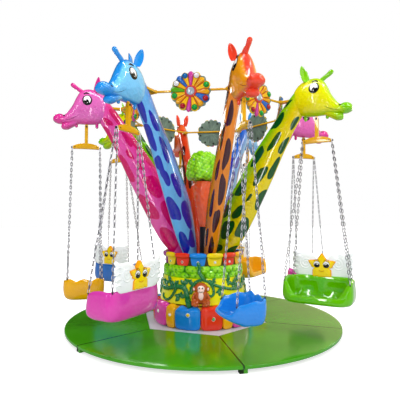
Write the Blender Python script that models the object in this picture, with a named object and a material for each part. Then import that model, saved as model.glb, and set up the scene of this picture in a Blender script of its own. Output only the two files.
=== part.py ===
"""Chair swing ride: eight giraffe necks on a turning hub carry hanging seats above a round deck.

Lengths are metres, +Z is up, and the origin is on the floor under the turning axis. Each arm is
made once in its own frame, with +X pointing away from the axis and +Y running anticlockwise seen
from above, and is then copied round the axis.
"""
import math

import bmesh
import bpy
from mathutils import Matrix, Vector

GAP = 0.0003                # clearance between pieces that touch

ARM_COUNT = 8
FIRST_ARM_ANGLE = math.pi   # the first arm lies along -X
ARM_RADIUS = 1.75           # axis to hanger
PIN_HEIGHT = 2.905          # hinge pin under each jaw
BAR_HEIGHT = 2.63           # middle of the spreader bar
SEAT_PIVOT_HEIGHT = 2.6025  # line through the eyes at the bar's ends

DECK_RADIUS = 2.0
DECK_TOP = 0.08
DECK_THICKNESS = 0.022
DECK_RIM_BOTTOM = 0.045
DECK_RIM_WIDTH = 0.045
SEGMENT_COUNT = 6
SEGMENT_TURN = math.radians(-93.0)   # direction of the first seam
PLATE_CORNER_RADIUS = 0.970          # light hexagonal plate under the drum
DECK_CORNER_RADIUS = 0.975
LEDGE_CORNER_RADIUS = 1.03
PLATE_TOP = 0.072
FOOT_WIDTH = 0.034

BLOCK_SPANS = (12.5, 29.3, 24.0) * 5 + (31.0,)   # degrees of the bulging blocks round the foot
BLOCK_TURN = math.radians(-149.5)
BLOCK_RADIUS = 0.75
BLOCK_TOP = 0.392
WALL_BOTTOM_RADIUS = 0.66
WALL_TOP_RADIUS = 0.60
WALL_TOP = 0.735
LEAF_SPANS = (22.5,) * 16
LEAF_RADIUS = 0.615
LEAF_TOP = 0.913
BEARING_RADIUS = 0.30
BEARING_TOP = 0.935
TURNTABLE_RADIUS = 0.54
TURNTABLE_TOP = 1.0
COLLAR_SPANS = (24.0,) * 15  # degrees of the blocks of the fixed collar round the turntable
COLLAR_TURN = math.radians(-124.0)
COLLAR_INNER_RADIUS = 0.552
COLLAR_RADIUS = 0.572
LIP_RADIUS = 0.606
LIP_BOTTOM = 1.03
COLLAR_TOP = 1.097
CROWN_SPANS = (360 / 7,) * 7

POLE_RADIUS = 0.05
TRUNK_BOTTOM = 1.45
TRUNK_TOP = 2.16
TRUNK_RADIUS = 0.156
CROWN_TOP = 2.63
CROWN_RADIUS = 0.228

ROD_HEIGHT = 3.2            # rods that join neighbouring necks
ROD_RADIUS = 0.015
BOSS_FACE = 1.27            # flat inner face of the lug on each neck
FLOWER_HEIGHT = 3.18
FLOWER_RADIUS = 0.265

BAR_HALF_LENGTH = 0.182
HANGER_WIDTH = 0.045
PIN_RADIUS = 0.008
PIN_HOLE_RADIUS = 0.0095
EYE_RADIUS = 0.0086         # hole of a chain eye, round a stub of the pin's radius
EYE_SIDES = 12
CHAIN_RADIUS = 0.008

SEAT_CENTRE_Y = -0.02
SEAT_BACK_POWER = 5.0       # how square the tub's back corners are seen from above
SEAT_SIDES = 24
# Outer and inner wall of a tub: share of the outline, share of the height between bottom and rim
TUB_OUTSIDE = [(0.75, 0.0), (0.93, 0.13), (1.0, 0.46), (0.98, 0.88), (0.955, 1.0)]
TUB_INSIDE = [(0.925, 0.95), (0.86, 0.0)]
# One tub: half width, depth in front of and behind the middle, squareness in front, height of the
# bottom, how far it rises to the front, where the chains are held and the rim's height, both by the
# direction seen from above in degrees, where -90 is the front, 0 the side and 90 the back
SINGLE_TUB = {
    "half_width": 0.28,
    "front_depth": 0.29,
    "back_depth": 0.20,
    "front_power": 2.8,
    "bottom": 0.450,
    "rise": 0.062,
    "chains": (-33.0, 38.0),
    "rim": [
        (-90, 0.580), (-55, 0.585), (-42, 0.602), (-36, 0.645), (-29, 0.688), (-14, 0.688),
        (-4, 0.702), (8, 0.727), (18, 0.712), (27, 0.702), (36, 0.742), (43, 0.758),
        (52, 0.728), (61, 0.706), (75, 0.732), (90, 0.745),
    ],
}
DOUBLE_TUB = {
    "half_width": 0.445,
    "front_depth": 0.235,
    "back_depth": 0.215,
    "front_power": 4.5,
    "bottom": 0.480,
    "rise": 0.015,
    "chains": (-21.0, 23.0),
    "rim": [
        (-90, 0.587), (-40, 0.592), (-31, 0.628), (-25, 0.700), (-17, 0.752), (-7, 0.790),
        (5, 0.798), (15, 0.786), (24, 0.786), (34, 0.793), (90, 0.795),
    ],
}

# Neck sections at level heights: height, inner radius, outer radius, half width
NECK_SECTIONS = [
    (TURNTABLE_TOP + GAP, 0.23, 0.50, 0.078),
    (1.105, 0.24, 0.54, 0.082),
    (1.27, 0.26, 0.70, 0.086),
    (1.56, 0.33, 0.86, 0.092),
    (1.85, 0.45, 0.99, 0.095),
    (2.15, 0.63, 1.13, 0.090),
    (2.46, 0.83, 1.28, 0.080),
    (2.75, 1.04, 1.43, 0.075),
    (2.98, 1.20, 1.58, 0.080),
    (3.18, 1.36, 1.68, 0.090),
    (3.36, 1.52, 1.72, 0.080),
]
# Head sections: distance from the axis, lowest height, highest height, half width
HEAD_SECTIONS = [
    (1.46, 3.08, 3.30, 0.045),
    (1.51, 3.01, 3.385, 0.080),
    (1.60, 2.955, 3.44, 0.104),
    (1.72, 2.94, 3.46, 0.114),
    (1.83, 2.94, 3.42, 0.108),
    (1.90, 2.935, 3.32, 0.100),
    (1.97, 2.930, 3.17, 0.090),
    (2.04, 2.935, 3.07, 0.084),
    (2.12, 2.935, 3.045, 0.086),
    (2.18, 2.95, 3.035, 0.072),
    (2.205, 2.97, 3.01, 0.035),
]
RING_SIDES = 10


def arm_angle(index):
    return FIRST_ARM_ANGLE + index * 2 * math.pi / ARM_COUNT


def material(name, colour, roughness, metallic=0.0):
    made = bpy.data.materials.new(name)
    made.use_nodes = True
    shader = made.node_tree.nodes["Principled BSDF"]
    shader.inputs["Base Color"].default_value = (*colour, 1.0)
    shader.inputs["Roughness"].default_value = roughness
    shader.inputs["Metallic"].default_value = metallic
    return made


def mesh_object(name, points, faces):
    """An object in the scene from points and faces, with its faces turned outwards."""
    mesh = bpy.data.meshes.new(name)
    mesh.from_pydata([tuple(point) for point in points], [], faces)
    shape = bmesh.new()
    shape.from_mesh(mesh)
    bmesh.ops.recalc_face_normals(shape, faces=shape.faces)
    shape.to_mesh(mesh)
    shape.free()
    made = bpy.data.objects.new(name, mesh)
    bpy.context.scene.collection.objects.link(made)
    return made


def skin(name, rings):
    """Rings with the same number of points, joined by quads and closed at both ends."""
    count = len(rings[0])
    points = [point for ring in rings for point in ring]
    faces = []
    for row in range(len(rings) - 1):
        for side in range(count):
            after = (side + 1) % count
            faces.append((
                row * count + side,
                row * count + after,
                (row + 1) * count + after,
                (row + 1) * count + side,
            ))
    faces.append(tuple(range(count)))
    faces.append(tuple((len(rings) - 1) * count + side for side in range(count)))
    return mesh_object(name, points, faces)


def prism(name, outline, axis, low, high):
    """A flat outline carried from low to high along axis; the outline gives the other two axes."""
    rings = []
    for level in (low, high):
        ring = []
        for first, second in outline:
            point = [first, second]
            point.insert("XYZ".index(axis), level)
            ring.append(Vector(point))
        rings.append(ring)
    return skin(name, rings)


def box(name, low, high):
    outline = [(low[0], low[1]), (high[0], low[1]), (high[0], high[1]), (low[0], high[1])]
    return prism(name, outline, "Z", low[2], high[2])


def rod(name, start, end, radius, sides=6):
    """A straight bar of few sides between two points."""
    start = Vector(start)
    end = Vector(end)
    turn = (end - start).to_track_quat("Z", "Y")
    rings = []
    for centre in (start, end):
        ring = []
        for side in range(sides):
            angle = 2 * math.pi * (side + 0.5) / sides
            offset = Vector((radius * math.cos(angle), radius * math.sin(angle), 0.0))
            ring.append(centre + turn @ offset)
        rings.append(ring)
    return skin(name, rings)


def ellipsoid(name, centre, radii, sides=10, rows=6, turn=None):
    shape = bmesh.new()
    bmesh.ops.create_uvsphere(shape, u_segments=sides, v_segments=rows, radius=1.0)
    matrix = Matrix.Translation(centre) @ (turn or Matrix()) @ Matrix.Diagonal((*radii, 1.0))
    shape.transform(matrix)
    mesh = bpy.data.meshes.new(name)
    shape.to_mesh(mesh)
    shape.free()
    made = bpy.data.objects.new(name, mesh)
    bpy.context.scene.collection.objects.link(made)
    return made


def combine(first, others, operation="UNION"):
    """The first object joined with, or cut by, the others, which are then removed."""
    for other in others:
        step = first.modifiers.new("combine", "BOOLEAN")
        step.operation = operation
        step.object = other
    seen = first.evaluated_get(bpy.context.evaluated_depsgraph_get())
    mesh = bpy.data.meshes.new_from_object(seen)
    first.modifiers.clear()
    first.data = mesh
    for other in others:
        bpy.data.objects.remove(other)
    return first


def finish(made, paint, parent=None):
    """Gives the object its paint and its parent, and rounds its shading over shallow edges."""
    made.data.materials.clear()
    made.data.materials.append(None)
    made.material_slots[0].link = "OBJECT"
    made.material_slots[0].material = paint
    made.data.shade_smooth()
    made.data.set_sharp_from_angle(angle=math.radians(35))
    made.parent = parent
    return made


def copy_of(template, name):
    made = bpy.data.objects.new(name, template.data)
    bpy.context.scene.collection.objects.link(made)
    return made


def on_circle(radius, angle):
    return (radius * math.cos(angle), radius * math.sin(angle))


def lobed_rings(profile, spans, start, depth, steps=4):
    """Rings of a turned profile whose radius swells once for each span, given in degrees."""
    rings = []
    for radius, height, share in profile:
        ring = []
        edge = start
        for span in spans:
            for step in range(steps):
                place = step / steps
                swell = 1.0 - depth * share * abs(2 * place - 1) ** 4
                angle = edge + math.radians(span) * place
                ring.append(Vector((*on_circle(radius * swell, angle), height)))
            edge += math.radians(span)
        rings.append(ring)
    return rings


def turned(name, profile, sides):
    """A solid turned about the axis from (radius, height) pairs, bottom to top."""
    rings = []
    for radius, height in profile:
        ring = []
        for side in range(sides):
            ring.append(Vector((*on_circle(radius, 2 * math.pi * side / sides), height)))
        rings.append(ring)
    return skin(name, rings)


def make_deck(green):
    """Six sheet segments between the hexagonal plate and the round rim, each with a rim and feet."""
    step = 2 * math.pi / SEGMENT_COUNT
    arc_steps = 10
    for index in range(SEGMENT_COUNT):
        start = SEGMENT_TURN + index * step
        end = start + step

        def inset(radius, angle, sign):
            return on_circle(radius, angle + sign * 0.5 * GAP / radius)

        outline = [inset(DECK_CORNER_RADIUS, end, -1), inset(DECK_CORNER_RADIUS, start, 1)]
        rim_outer = []
        rim_inner = []
        for point in range(arc_steps + 1):
            angle = start + step * point / arc_steps
            if point == 0:
                angle += 0.5 * GAP / (DECK_RADIUS - DECK_RIM_WIDTH)
            if point == arc_steps:
                angle -= 0.5 * GAP / (DECK_RADIUS - DECK_RIM_WIDTH)
            rim_outer.append(on_circle(DECK_RADIUS, angle))
            rim_inner.append(on_circle(DECK_RADIUS - DECK_RIM_WIDTH, angle))
        name = f"deck_segment_{index + 1}"
        sheet = prism(name, outline + rim_outer, "Z", DECK_TOP - DECK_THICKNESS, DECK_TOP)
        lip_top = DECK_TOP - 0.5 * DECK_THICKNESS
        lip = prism("lip", rim_outer + rim_inner[::-1], "Z", DECK_RIM_BOTTOM, lip_top)
        parts = [lip]
        for angle, sign in ((start, 1), (end, -1)):
            along = Vector((*on_circle(1.0, angle), 0.0))
            across = Vector((-along.y, along.x, 0.0)) * sign
            corners = []
            for reach, side in ((1.925, 0.002), (1.975, 0.002), (1.975, FOOT_WIDTH), (1.925, FOOT_WIDTH)):
                point = along * reach + across * side
                corners.append((point.x, point.y))
            parts.append(prism("foot", corners, "Z", 0.0, DECK_TOP - 0.6 * DECK_THICKNESS))
        finish(combine(sheet, parts), green)


def make_base_plate(pale):
    """Hexagonal plate under the drum, with a ledge that carries the deck's inner edges."""
    ledge_top = DECK_TOP - DECK_THICKNESS - GAP
    rings = []
    for radius, height in (
        (LEDGE_CORNER_RADIUS, 0.0),
        (LEDGE_CORNER_RADIUS, ledge_top),
        (PLATE_CORNER_RADIUS, ledge_top),
        (PLATE_CORNER_RADIUS, PLATE_TOP),
    ):
        ring = []
        for corner in range(SEGMENT_COUNT):
            angle = SEGMENT_TURN + corner * 2 * math.pi / SEGMENT_COUNT
            ring.append(Vector((*on_circle(radius, angle), height)))
        rings.append(ring)
    finish(skin("base_plate", rings), pale)


def make_drum(paints):
    """Foot of bulging blocks, conical wall with a seated monkey, ring of leaves, collar, bearing."""
    foot = PLATE_TOP + GAP
    blocks = lobed_rings(
        [
            (0.94 * BLOCK_RADIUS, foot, 0.8),
            (BLOCK_RADIUS, foot + 0.06, 1.0),
            (BLOCK_RADIUS, BLOCK_TOP - 0.06, 1.0),
            (0.91 * BLOCK_RADIUS, BLOCK_TOP, 0.5),
        ],
        BLOCK_SPANS, BLOCK_TURN, 0.07, 5,
    )
    finish(skin("drum_blocks", blocks), paints["magenta"])

    wall = turned(
        "drum_wall",
        [(WALL_BOTTOM_RADIUS, BLOCK_TOP + GAP), (WALL_TOP_RADIUS, WALL_TOP)],
        48,
    )
    facing = math.radians(-108.0)
    turn = Matrix.Rotation(facing, 4, "Z")
    monkey = []
    for name, centre, radii in (
        ("body", (0.63, 0.0, 0.515), (0.06, 0.105, 0.115)),
        ("head", (0.635, 0.0, 0.615), (0.06, 0.092, 0.082)),
        ("left_leg", (0.655, 0.075, 0.443), (0.07, 0.04, 0.045)),
        ("right_leg", (0.655, -0.075, 0.443), (0.07, 0.04, 0.045)),
    ):
        monkey.append(ellipsoid(name, turn @ Vector(centre), radii, 10, 6, turn))
    finish(combine(wall, monkey), paints["yellow"])

    leaves = lobed_rings(
        [
            (0.93 * LEAF_RADIUS, WALL_TOP + GAP, 0.3),
            (LEAF_RADIUS, WALL_TOP + 0.05, 1.0),
            (LEAF_RADIUS, LEAF_TOP - 0.06, 1.0),
            (0.93 * LEAF_RADIUS, LEAF_TOP, 0.3),
        ],
        LEAF_SPANS, 0.0, 0.05, 3,
    )
    finish(skin("leaf_ring", leaves), paints["leaf"])
    make_collar(paints["red"])
    bearing = turned(
        "slewing_bearing",
        [(BEARING_RADIUS, LEAF_TOP + GAP), (BEARING_RADIUS, BEARING_TOP)],
        32,
    )
    finish(bearing, paints["steel"])


def make_collar(red):
    """Ring of blocks that stands on the leaves, with a rolled lip on each block."""
    foot = LEAF_TOP + GAP
    outside = lobed_rings(
        [
            (COLLAR_RADIUS, foot, 0.3),
            (COLLAR_RADIUS, LIP_BOTTOM, 0.3),
            (0.99 * LIP_RADIUS, LIP_BOTTOM + 0.006, 0.6),
            (LIP_RADIUS, LIP_BOTTOM + 0.034, 0.7),
            (0.96 * LIP_RADIUS, COLLAR_TOP, 0.4),
        ],
        COLLAR_SPANS, COLLAR_TURN, 0.05,
    )
    rings = []
    for height in (COLLAR_TOP - 0.006, foot):
        rings.append([COLLAR_INNER_RADIUS / point.to_2d().length * point for point in outside[0]])
        for point in rings[-1]:
            point.z = height
    finish(closed_loop("collar", rings + outside), red)


def make_hub(paints, rotor):
    """Turntable, pole, trunk and leafy crown, which turn together."""
    table = turned(
        "turntable",
        [(TURNTABLE_RADIUS, BEARING_TOP + GAP), (TURNTABLE_RADIUS, TURNTABLE_TOP)],
        64,
    )
    finish(table, paints["steel"], rotor)

    finish(rod("centre_pole", (0, 0, TURNTABLE_TOP + GAP), (0, 0, TRUNK_BOTTOM), POLE_RADIUS, 12),
           paints["steel"], rotor)
    trunk = turned(
        "tree_trunk",
        [
            (0.05, TRUNK_BOTTOM + GAP),
            (0.085, 1.72),
            (0.125, 1.95),
            (TRUNK_RADIUS, 2.09),
            (0.9 * TRUNK_RADIUS, 2.14),
            (0.6 * TRUNK_RADIUS, TRUNK_TOP),
        ],
        14,
    )
    finish(trunk, paints["trunk"], rotor)
    crown = lobed_rings(
        [
            (0.45 * CROWN_RADIUS, TRUNK_TOP + GAP, 0.0),
            (0.86 * CROWN_RADIUS, 2.22, 0.7),
            (CROWN_RADIUS, 2.36, 1.0),
            (0.93 * CROWN_RADIUS, 2.48, 1.0),
            (0.66 * CROWN_RADIUS, 2.58, 0.7),
            (0.25 * CROWN_RADIUS, CROWN_TOP, 0.0),
        ],
        CROWN_SPANS, 0.0, 0.12, 3,
    )
    finish(skin("tree_crown", crown), paints["leaf"], rotor)


def closed_loop(name, rings):
    """Rings joined by quads, the last one back to the first, as in a ring with a hole."""
    count = len(rings[0])
    points = [point for ring in rings for point in ring]
    faces = []
    for row in range(len(rings)):
        below = (row + 1) % len(rings)
        for side in range(count):
            after = (side + 1) % count
            faces.append((
                row * count + side,
                row * count + after,
                below * count + after,
                below * count + side,
            ))
    return mesh_object(name, points, faces)


def make_giraffe():
    """Neck and head of one moulding, with a horn, two ears, two pegs and a hinge lug below."""
    rings = []
    for height, inner, outer, half_width in NECK_SECTIONS:
        ring = []
        for side in range(RING_SIDES):
            angle = 2 * math.pi * side / RING_SIDES
            x = 0.5 * (inner + outer) + 0.5 * (outer - inner) * math.cos(angle)
            ring.append(Vector((x, half_width * math.sin(angle), height)))
        rings.append(ring)
    neck = skin("giraffe", rings)

    rings = []
    for x, low, high, half_width in HEAD_SECTIONS:
        ring = []
        for side in range(RING_SIDES):
            angle = 2 * math.pi * (side + 0.5) / RING_SIDES
            z = 0.5 * (low + high) + 0.5 * (high - low) * math.cos(angle)
            ring.append(Vector((x, half_width * math.sin(angle), z)))
        rings.append(ring)
    head = skin("head", rings)

    jaw = ellipsoid("jaw", (1.985, 0.0, 2.905), (0.12, 0.07, 0.055), 8, 5,
                    Matrix.Rotation(math.radians(22), 4, "Y"))
    horn = rod("horn", (1.82, 0.0, 3.38), (1.955, 0.0, 3.53), 0.032, 6)
    ears = []
    for side in (-1, 1):
        root = Vector((1.61, side * 0.045, 3.33))
        tip = Vector((1.575, side * 0.12, 3.64))
        middle = root.lerp(tip, 0.5)
        lean = (tip - root).to_track_quat("Z", "X").to_matrix().to_4x4()
        ears.append(ellipsoid("ear", middle, (0.025, 0.055, 0.16), 6, 4, lean))
    pegs = []
    for x in (1.605, 1.89):
        pegs.append(rod("peg", (x, 0.0, 3.04), (x, 0.0, 2.888), 0.016, 5))
    boss = box("boss", (BOSS_FACE, -0.045, ROD_HEIGHT - 0.025), (1.45, 0.045, ROD_HEIGHT + 0.025))

    outline = [(ARM_RADIUS - 0.02, 3.04)]
    for step in range(7):
        angle = math.pi + math.pi * step / 6
        outline.append((ARM_RADIUS + 0.02 * math.cos(angle), PIN_HEIGHT + 0.02 * math.sin(angle)))
    outline.append((ARM_RADIUS + 0.02, 3.04))
    tongue = prism("tongue", outline, "Y", -0.0075, 0.0075)
    hole = rod("hole", (ARM_RADIUS, -0.05, PIN_HEIGHT), (ARM_RADIUS, 0.05, PIN_HEIGHT), PIN_HOLE_RADIUS, 10)
    combine(tongue, [hole], "DIFFERENCE")
    return combine(neck, [head, jaw, horn, *ears, *pegs, boss, tongue])


def make_hanger():
    """Forked post and boat-shaped spreader bar, with a headed stub at each end for the chain eyes.

    The origin is the hinge pin.
    """
    half = 0.5 * HANGER_WIDTH
    bar_z = BAR_HEIGHT - PIN_HEIGHT
    eye_z = SEAT_PIVOT_HEIGHT - PIN_HEIGHT
    post = box("hanger", (-half, -half, bar_z), (half, half, 0.020))
    slot = box("slot", (-0.05, -0.008, -0.030), (0.05, 0.008, 0.05))
    combine(post, [slot], "DIFFERENCE")
    pin = rod("pin", (0, -half - 0.008, 0), (0, half + 0.008, 0), PIN_RADIUS, 10)
    reach = BAR_HALF_LENGTH
    outline = [
        (-reach, eye_z - 0.024), (-0.6 * reach, bar_z - 0.036), (0.0, bar_z - 0.042),
        (0.6 * reach, bar_z - 0.036), (reach, eye_z - 0.024),
        (reach, eye_z + 0.024), (0.6 * reach, bar_z + 0.026), (0.0, bar_z + 0.042),
        (-0.6 * reach, bar_z + 0.026), (-reach, eye_z + 0.024),
    ]
    bar = prism("bar", outline, "Y", -0.0245, 0.0245)
    ends = []
    for sign in (-1, 1):
        ends.append(rod("stub", (sign * (reach - 0.02), 0, eye_z), (sign * (reach + 0.023), 0, eye_z),
                        PIN_RADIUS, EYE_SIDES))
        ends.append(rod("stub_head", (sign * (reach + 0.018), 0, eye_z), (sign * (reach + 0.026), 0, eye_z),
                        0.015, 8))
    return combine(post, [pin, bar, *ends])


def star_outline(centre_z, radius):
    """Five-pointed star that is a little lower than it is wide."""
    points = []
    for point in range(10):
        angle = math.pi / 2 + point * math.pi / 5
        reach = radius if point % 2 == 0 else 0.54 * radius
        points.append((reach * math.cos(angle), centre_z + 0.87 * reach * math.sin(angle)))
    return points


def tub_outline(tub, angle, share):
    """A point of the tub seen from above: an oval with squared corners, deeper or shallower in front."""
    back = math.sin(angle) > 0
    depth = tub["back_depth"] if back else tub["front_depth"]
    power = SEAT_BACK_POWER if back else tub["front_power"]
    width_part = abs(math.cos(angle) / tub["half_width"]) ** power
    depth_part = abs(math.sin(angle) / depth) ** power
    reach = share * (width_part + depth_part) ** (-1 / power)
    return (reach * math.cos(angle), SEAT_CENTRE_Y + reach * math.sin(angle))


def rim_height(tub, angle):
    """Height of the tub's rim in a direction, by straight steps between the listed directions."""
    turn = math.degrees(math.atan2(math.sin(angle), abs(math.cos(angle))))
    for (start, low), (end, high) in zip(tub["rim"], tub["rim"][1:]):
        if turn <= end:
            return low + (high - low) * (turn - start) / (end - start)
    return tub["rim"][-1][1]


def tub_bottom(tub, y):
    """Height of the tub's underside, which rises towards the front."""
    forward = max(0.0, (-0.084 - y) / 0.157)
    return tub["bottom"] + tub["rise"] * min(forward, 1.3)


def tub_ring(tub, share, height_share, inside):
    ring = []
    for side in range(SEAT_SIDES):
        angle = 2 * math.pi * (side + 0.5) / SEAT_SIDES
        x, y = tub_outline(tub, angle, share)
        rim = rim_height(tub, angle)
        low = tub_bottom(tub, y)
        if inside:
            low = min(low + 0.045, rim - 0.012)
        ring.append(Vector((x, y, low + height_share * (rim - low) - SEAT_PIVOT_HEIGHT)))
    return ring


def make_seat(tub, with_star):
    """Tub seat with the four chains that end in two eyes; the origin is the bar's middle.

    The sitter faces -Y. The wide bench carries a star between two wings on its back.
    """
    rings = [tub_ring(tub, share, height, False) for share, height in TUB_OUTSIDE]
    rings += [tub_ring(tub, share, height, True) for share, height in TUB_INSIDE]
    body = skin("seat", rings)

    drop = -SEAT_PIVOT_HEIGHT
    parts = []
    eye_x = BAR_HALF_LENGTH + 0.0095
    for sign in (-1, 1):
        for direction in tub["chains"]:
            angle = math.radians(direction)
            x, y = tub_outline(tub, angle, 0.955)
            foot = (sign * x, y, rim_height(tub, angle) - 0.03 + drop)
            top = (sign * eye_x, math.copysign(0.011, y), -0.017)
            parts.append(rod("chain", top, foot, CHAIN_RADIUS, 4))
        rings = []
        for radius, x in ((EYE_RADIUS, -0.006), (0.021, -0.006), (0.021, 0.006), (EYE_RADIUS, 0.006)):
            ring = []
            for side in range(EYE_SIDES):
                angle = 2 * math.pi * side / EYE_SIDES
                ring.append(Vector((sign * eye_x + x, *on_circle(radius, angle))))
            rings.append(ring)
        parts.append(closed_loop("eye", rings))
    if with_star:
        back = SEAT_CENTRE_Y + tub["back_depth"]
        parts.append(prism("star", [(x, z + drop) for x, z in star_outline(0.925, 0.195)], "Y",
                           back - 0.042, back + 0.013))
        for sign in (-1, 1):
            wing = [
                (0.03, 0.765), (0.04, 0.96), (0.12, 1.07), (0.22, 1.11), (0.32, 1.115),
                (0.385, 1.12), (0.37, 1.00), (0.37, 0.90), (0.33, 0.765),
            ]
            parts.append(prism("wing", [(sign * x, z + drop) for x, z in wing], "Y",
                               back - 0.030, back - 0.002))
    return combine(body, parts)


def make_light_rod():
    """Rod between two necks with its end tabs and the flower lamp in its middle, facing outwards.

    The flower's middle lies along +X, with a neck half a step to each side.
    """
    half_step = math.pi / ARM_COUNT
    outline = []
    for point in range(24):
        angle = 2 * math.pi * point / 24
        reach = FLOWER_RADIUS if point % 2 == 0 else 0.93 * FLOWER_RADIUS
        outline.append((reach * math.cos(angle), FLOWER_HEIGHT + reach * math.sin(angle)))
    ends = []
    tabs = []
    for sign in (-1, 1):
        turn = Matrix.Rotation(sign * half_step, 4, "Z")
        ends.append(turn @ Vector((BOSS_FACE - 0.02, -sign * 0.024, ROD_HEIGHT)))
        low_y, high_y = sorted((-sign * 0.004, -sign * 0.044))
        tab = box("tab", (BOSS_FACE - 0.035, low_y, ROD_HEIGHT - 0.03),
                  (BOSS_FACE - GAP, high_y, ROD_HEIGHT + 0.03))
        tab.data.transform(turn)
        tabs.append(tab)
    bar = rod("light_rod", ends[0], ends[1], ROD_RADIUS, 6)
    middle = ends[0].x
    disc = prism("disc", outline, "X", middle + 0.008, middle + 0.045)
    hub = rod("hub", (middle + 0.03, 0, FLOWER_HEIGHT), (middle + 0.07, 0, FLOWER_HEIGHT), 0.055, 8)
    return combine(bar, [*tabs, disc, hub])


def main():
    for old in list(bpy.data.objects):
        bpy.data.objects.remove(old)

    paints = {
        "deck": material("deck_green", (0.10, 0.32, 0.03), 0.25),
        "pale": material("pale_plate", (0.62, 0.60, 0.61), 0.45),
        "magenta": material("magenta_gloss", (0.65, 0.05, 0.33), 0.2),
        "yellow": material("yellow_gloss", (0.85, 0.72, 0.02), 0.2),
        "leaf": material("leaf_gloss", (0.20, 0.60, 0.03), 0.2),
        "red": material("red_gloss", (0.72, 0.07, 0.04), 0.2),
        "trunk": material("trunk_gloss", (0.75, 0.07, 0.02), 0.2),
        "steel": material("dark_steel", (0.08, 0.08, 0.09), 0.45, 0.8),
        "gold": material("gold_paint", (0.72, 0.42, 0.03), 0.3, 0.3),
        "pink": material("pink_gloss", (0.70, 0.06, 0.38), 0.18),
        "blue": material("blue_gloss", (0.10, 0.42, 0.85), 0.18),
        "orange": material("orange_gloss", (0.78, 0.26, 0.02), 0.18),
        "lime": material("lime_gloss", (0.45, 0.60, 0.02), 0.18),
        "amber": material("amber_gloss", (0.80, 0.48, 0.02), 0.18),
    }
    make_deck(paints["deck"])
    make_base_plate(paints["pale"])
    make_drum(paints)

    rotor = bpy.data.objects.new("rotor", None)
    bpy.context.scene.collection.objects.link(rotor)
    make_hub(paints, rotor)

    giraffe = make_giraffe()
    hanger = make_hanger()
    light_rod = make_light_rod()
    seats = {True: make_seat(DOUBLE_TUB, True), False: make_seat(SINGLE_TUB, False)}
    giraffe_paints = ("pink", "blue", "orange", "lime")
    seat_paints = ("amber", "pink", "blue", "lime", "pink", "amber", "lime", "blue")
    for index in range(ARM_COUNT):
        angle = arm_angle(index)
        number = index + 1

        neck = copy_of(giraffe, f"giraffe_{number}")
        neck.rotation_euler.z = angle
        finish(neck, paints[giraffe_paints[index % 4]], rotor)

        post = copy_of(hanger, f"hanger_{number}")
        post.location = (*on_circle(ARM_RADIUS, angle), PIN_HEIGHT)
        post.rotation_euler.z = angle
        finish(post, paints["gold"], rotor)

        seat = copy_of(seats[index % 2 == 1], f"seat_{number}")
        seat.location = (0.0, 0.0, SEAT_PIVOT_HEIGHT - PIN_HEIGHT)
        finish(seat, paints[seat_paints[index]], post)

        lamp = copy_of(light_rod, f"light_rod_{number}")
        lamp.rotation_euler.z = angle + math.pi / ARM_COUNT
        finish(lamp, paints["gold"], rotor)
    for template in (giraffe, hanger, light_rod, *seats.values()):
        bpy.data.objects.remove(template)


main()
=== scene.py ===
import math

import bmesh
import bpy
import numpy as np
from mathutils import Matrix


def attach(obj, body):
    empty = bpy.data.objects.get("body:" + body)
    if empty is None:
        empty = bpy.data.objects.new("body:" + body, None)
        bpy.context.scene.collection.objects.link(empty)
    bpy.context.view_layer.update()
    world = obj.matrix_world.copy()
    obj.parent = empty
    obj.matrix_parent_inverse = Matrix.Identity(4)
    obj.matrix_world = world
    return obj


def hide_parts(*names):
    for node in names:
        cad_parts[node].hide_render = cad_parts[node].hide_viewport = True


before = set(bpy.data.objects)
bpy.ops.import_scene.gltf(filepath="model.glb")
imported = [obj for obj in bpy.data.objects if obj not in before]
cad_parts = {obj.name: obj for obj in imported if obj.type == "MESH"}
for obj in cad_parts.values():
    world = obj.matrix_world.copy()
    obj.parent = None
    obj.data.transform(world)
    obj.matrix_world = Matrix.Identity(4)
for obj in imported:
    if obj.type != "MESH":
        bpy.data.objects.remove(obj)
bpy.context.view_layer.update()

# The ride stands on a plain pale floor in soft white light, as on a catalogue page. Long bright
# panels in front, at the side, behind and overhead give the gloss paint its streaks. The camera
# stands at a grown-up's eye height, a little left of the middle.
CAMERA_PLACE = (-1.533, -5.710, 1.577)
CAMERA_UP_TILT = math.radians(2.81)
CAMERA_TURN = math.radians(-14.57)
CAMERA_LENS = 34.3
SENSOR_WIDTH = 36.0
FLOOR_HALF = 60.0
WHITE = (1.0, 1.0, 1.0, 1.0)
WARM_WHITE = (1.0, 0.90, 0.50, 1.0)
# Panels: name, place, point that it shines on, width, height, watts
PANELS = (
    ("front_left_strip", (-5.2, -5.4, 3.8), (0, 0, 1.9), 0.30, 4.5, 104),
    ("front_right_strip", (3.4, -6.4, 4.4), (0, 0, 1.8), 0.26, 4.0, 78),
    ("right_strip", (6.8, 0.6, 3.6), (0, 0, 1.8), 0.35, 3.5, 60),
    ("overhead_strip", (-0.8, -1.8, 7.2), (0, 0, 1.0), 4.0, 0.30, 88),
    ("front_middle_strip", (-1.4, -7.6, 2.9), (0, 0, 1.8), 0.45, 3.6, 56),
    ("overhead_lamp", (2.4, -3.2, 6.8), (0, 0, 1.0), 0.6, 0.6, 62),
    ("back_strip", (-1.0, 7.0, 5.0), (0, 0, 2.0), 5.0, 0.5, 75))


def joined(tree, socket, value):
    """Sets a socket to a value, or links it to another node's output."""
    if isinstance(value, bpy.types.NodeSocket):
        tree.links.new(value, socket)
    else:
        socket.default_value = value


def node(tree, kind, fields=(), **inputs):
    """New shader node. fields are its own settings, and each input is a value or another node's
    output, under the socket's name with _ for a space."""
    made = tree.nodes.new("ShaderNode" + kind)
    for name, value in fields:
        setattr(made, name, value)
    for name, value in inputs.items():
        joined(tree, made.inputs[name.replace("_", " ")], value)
    return made


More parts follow.
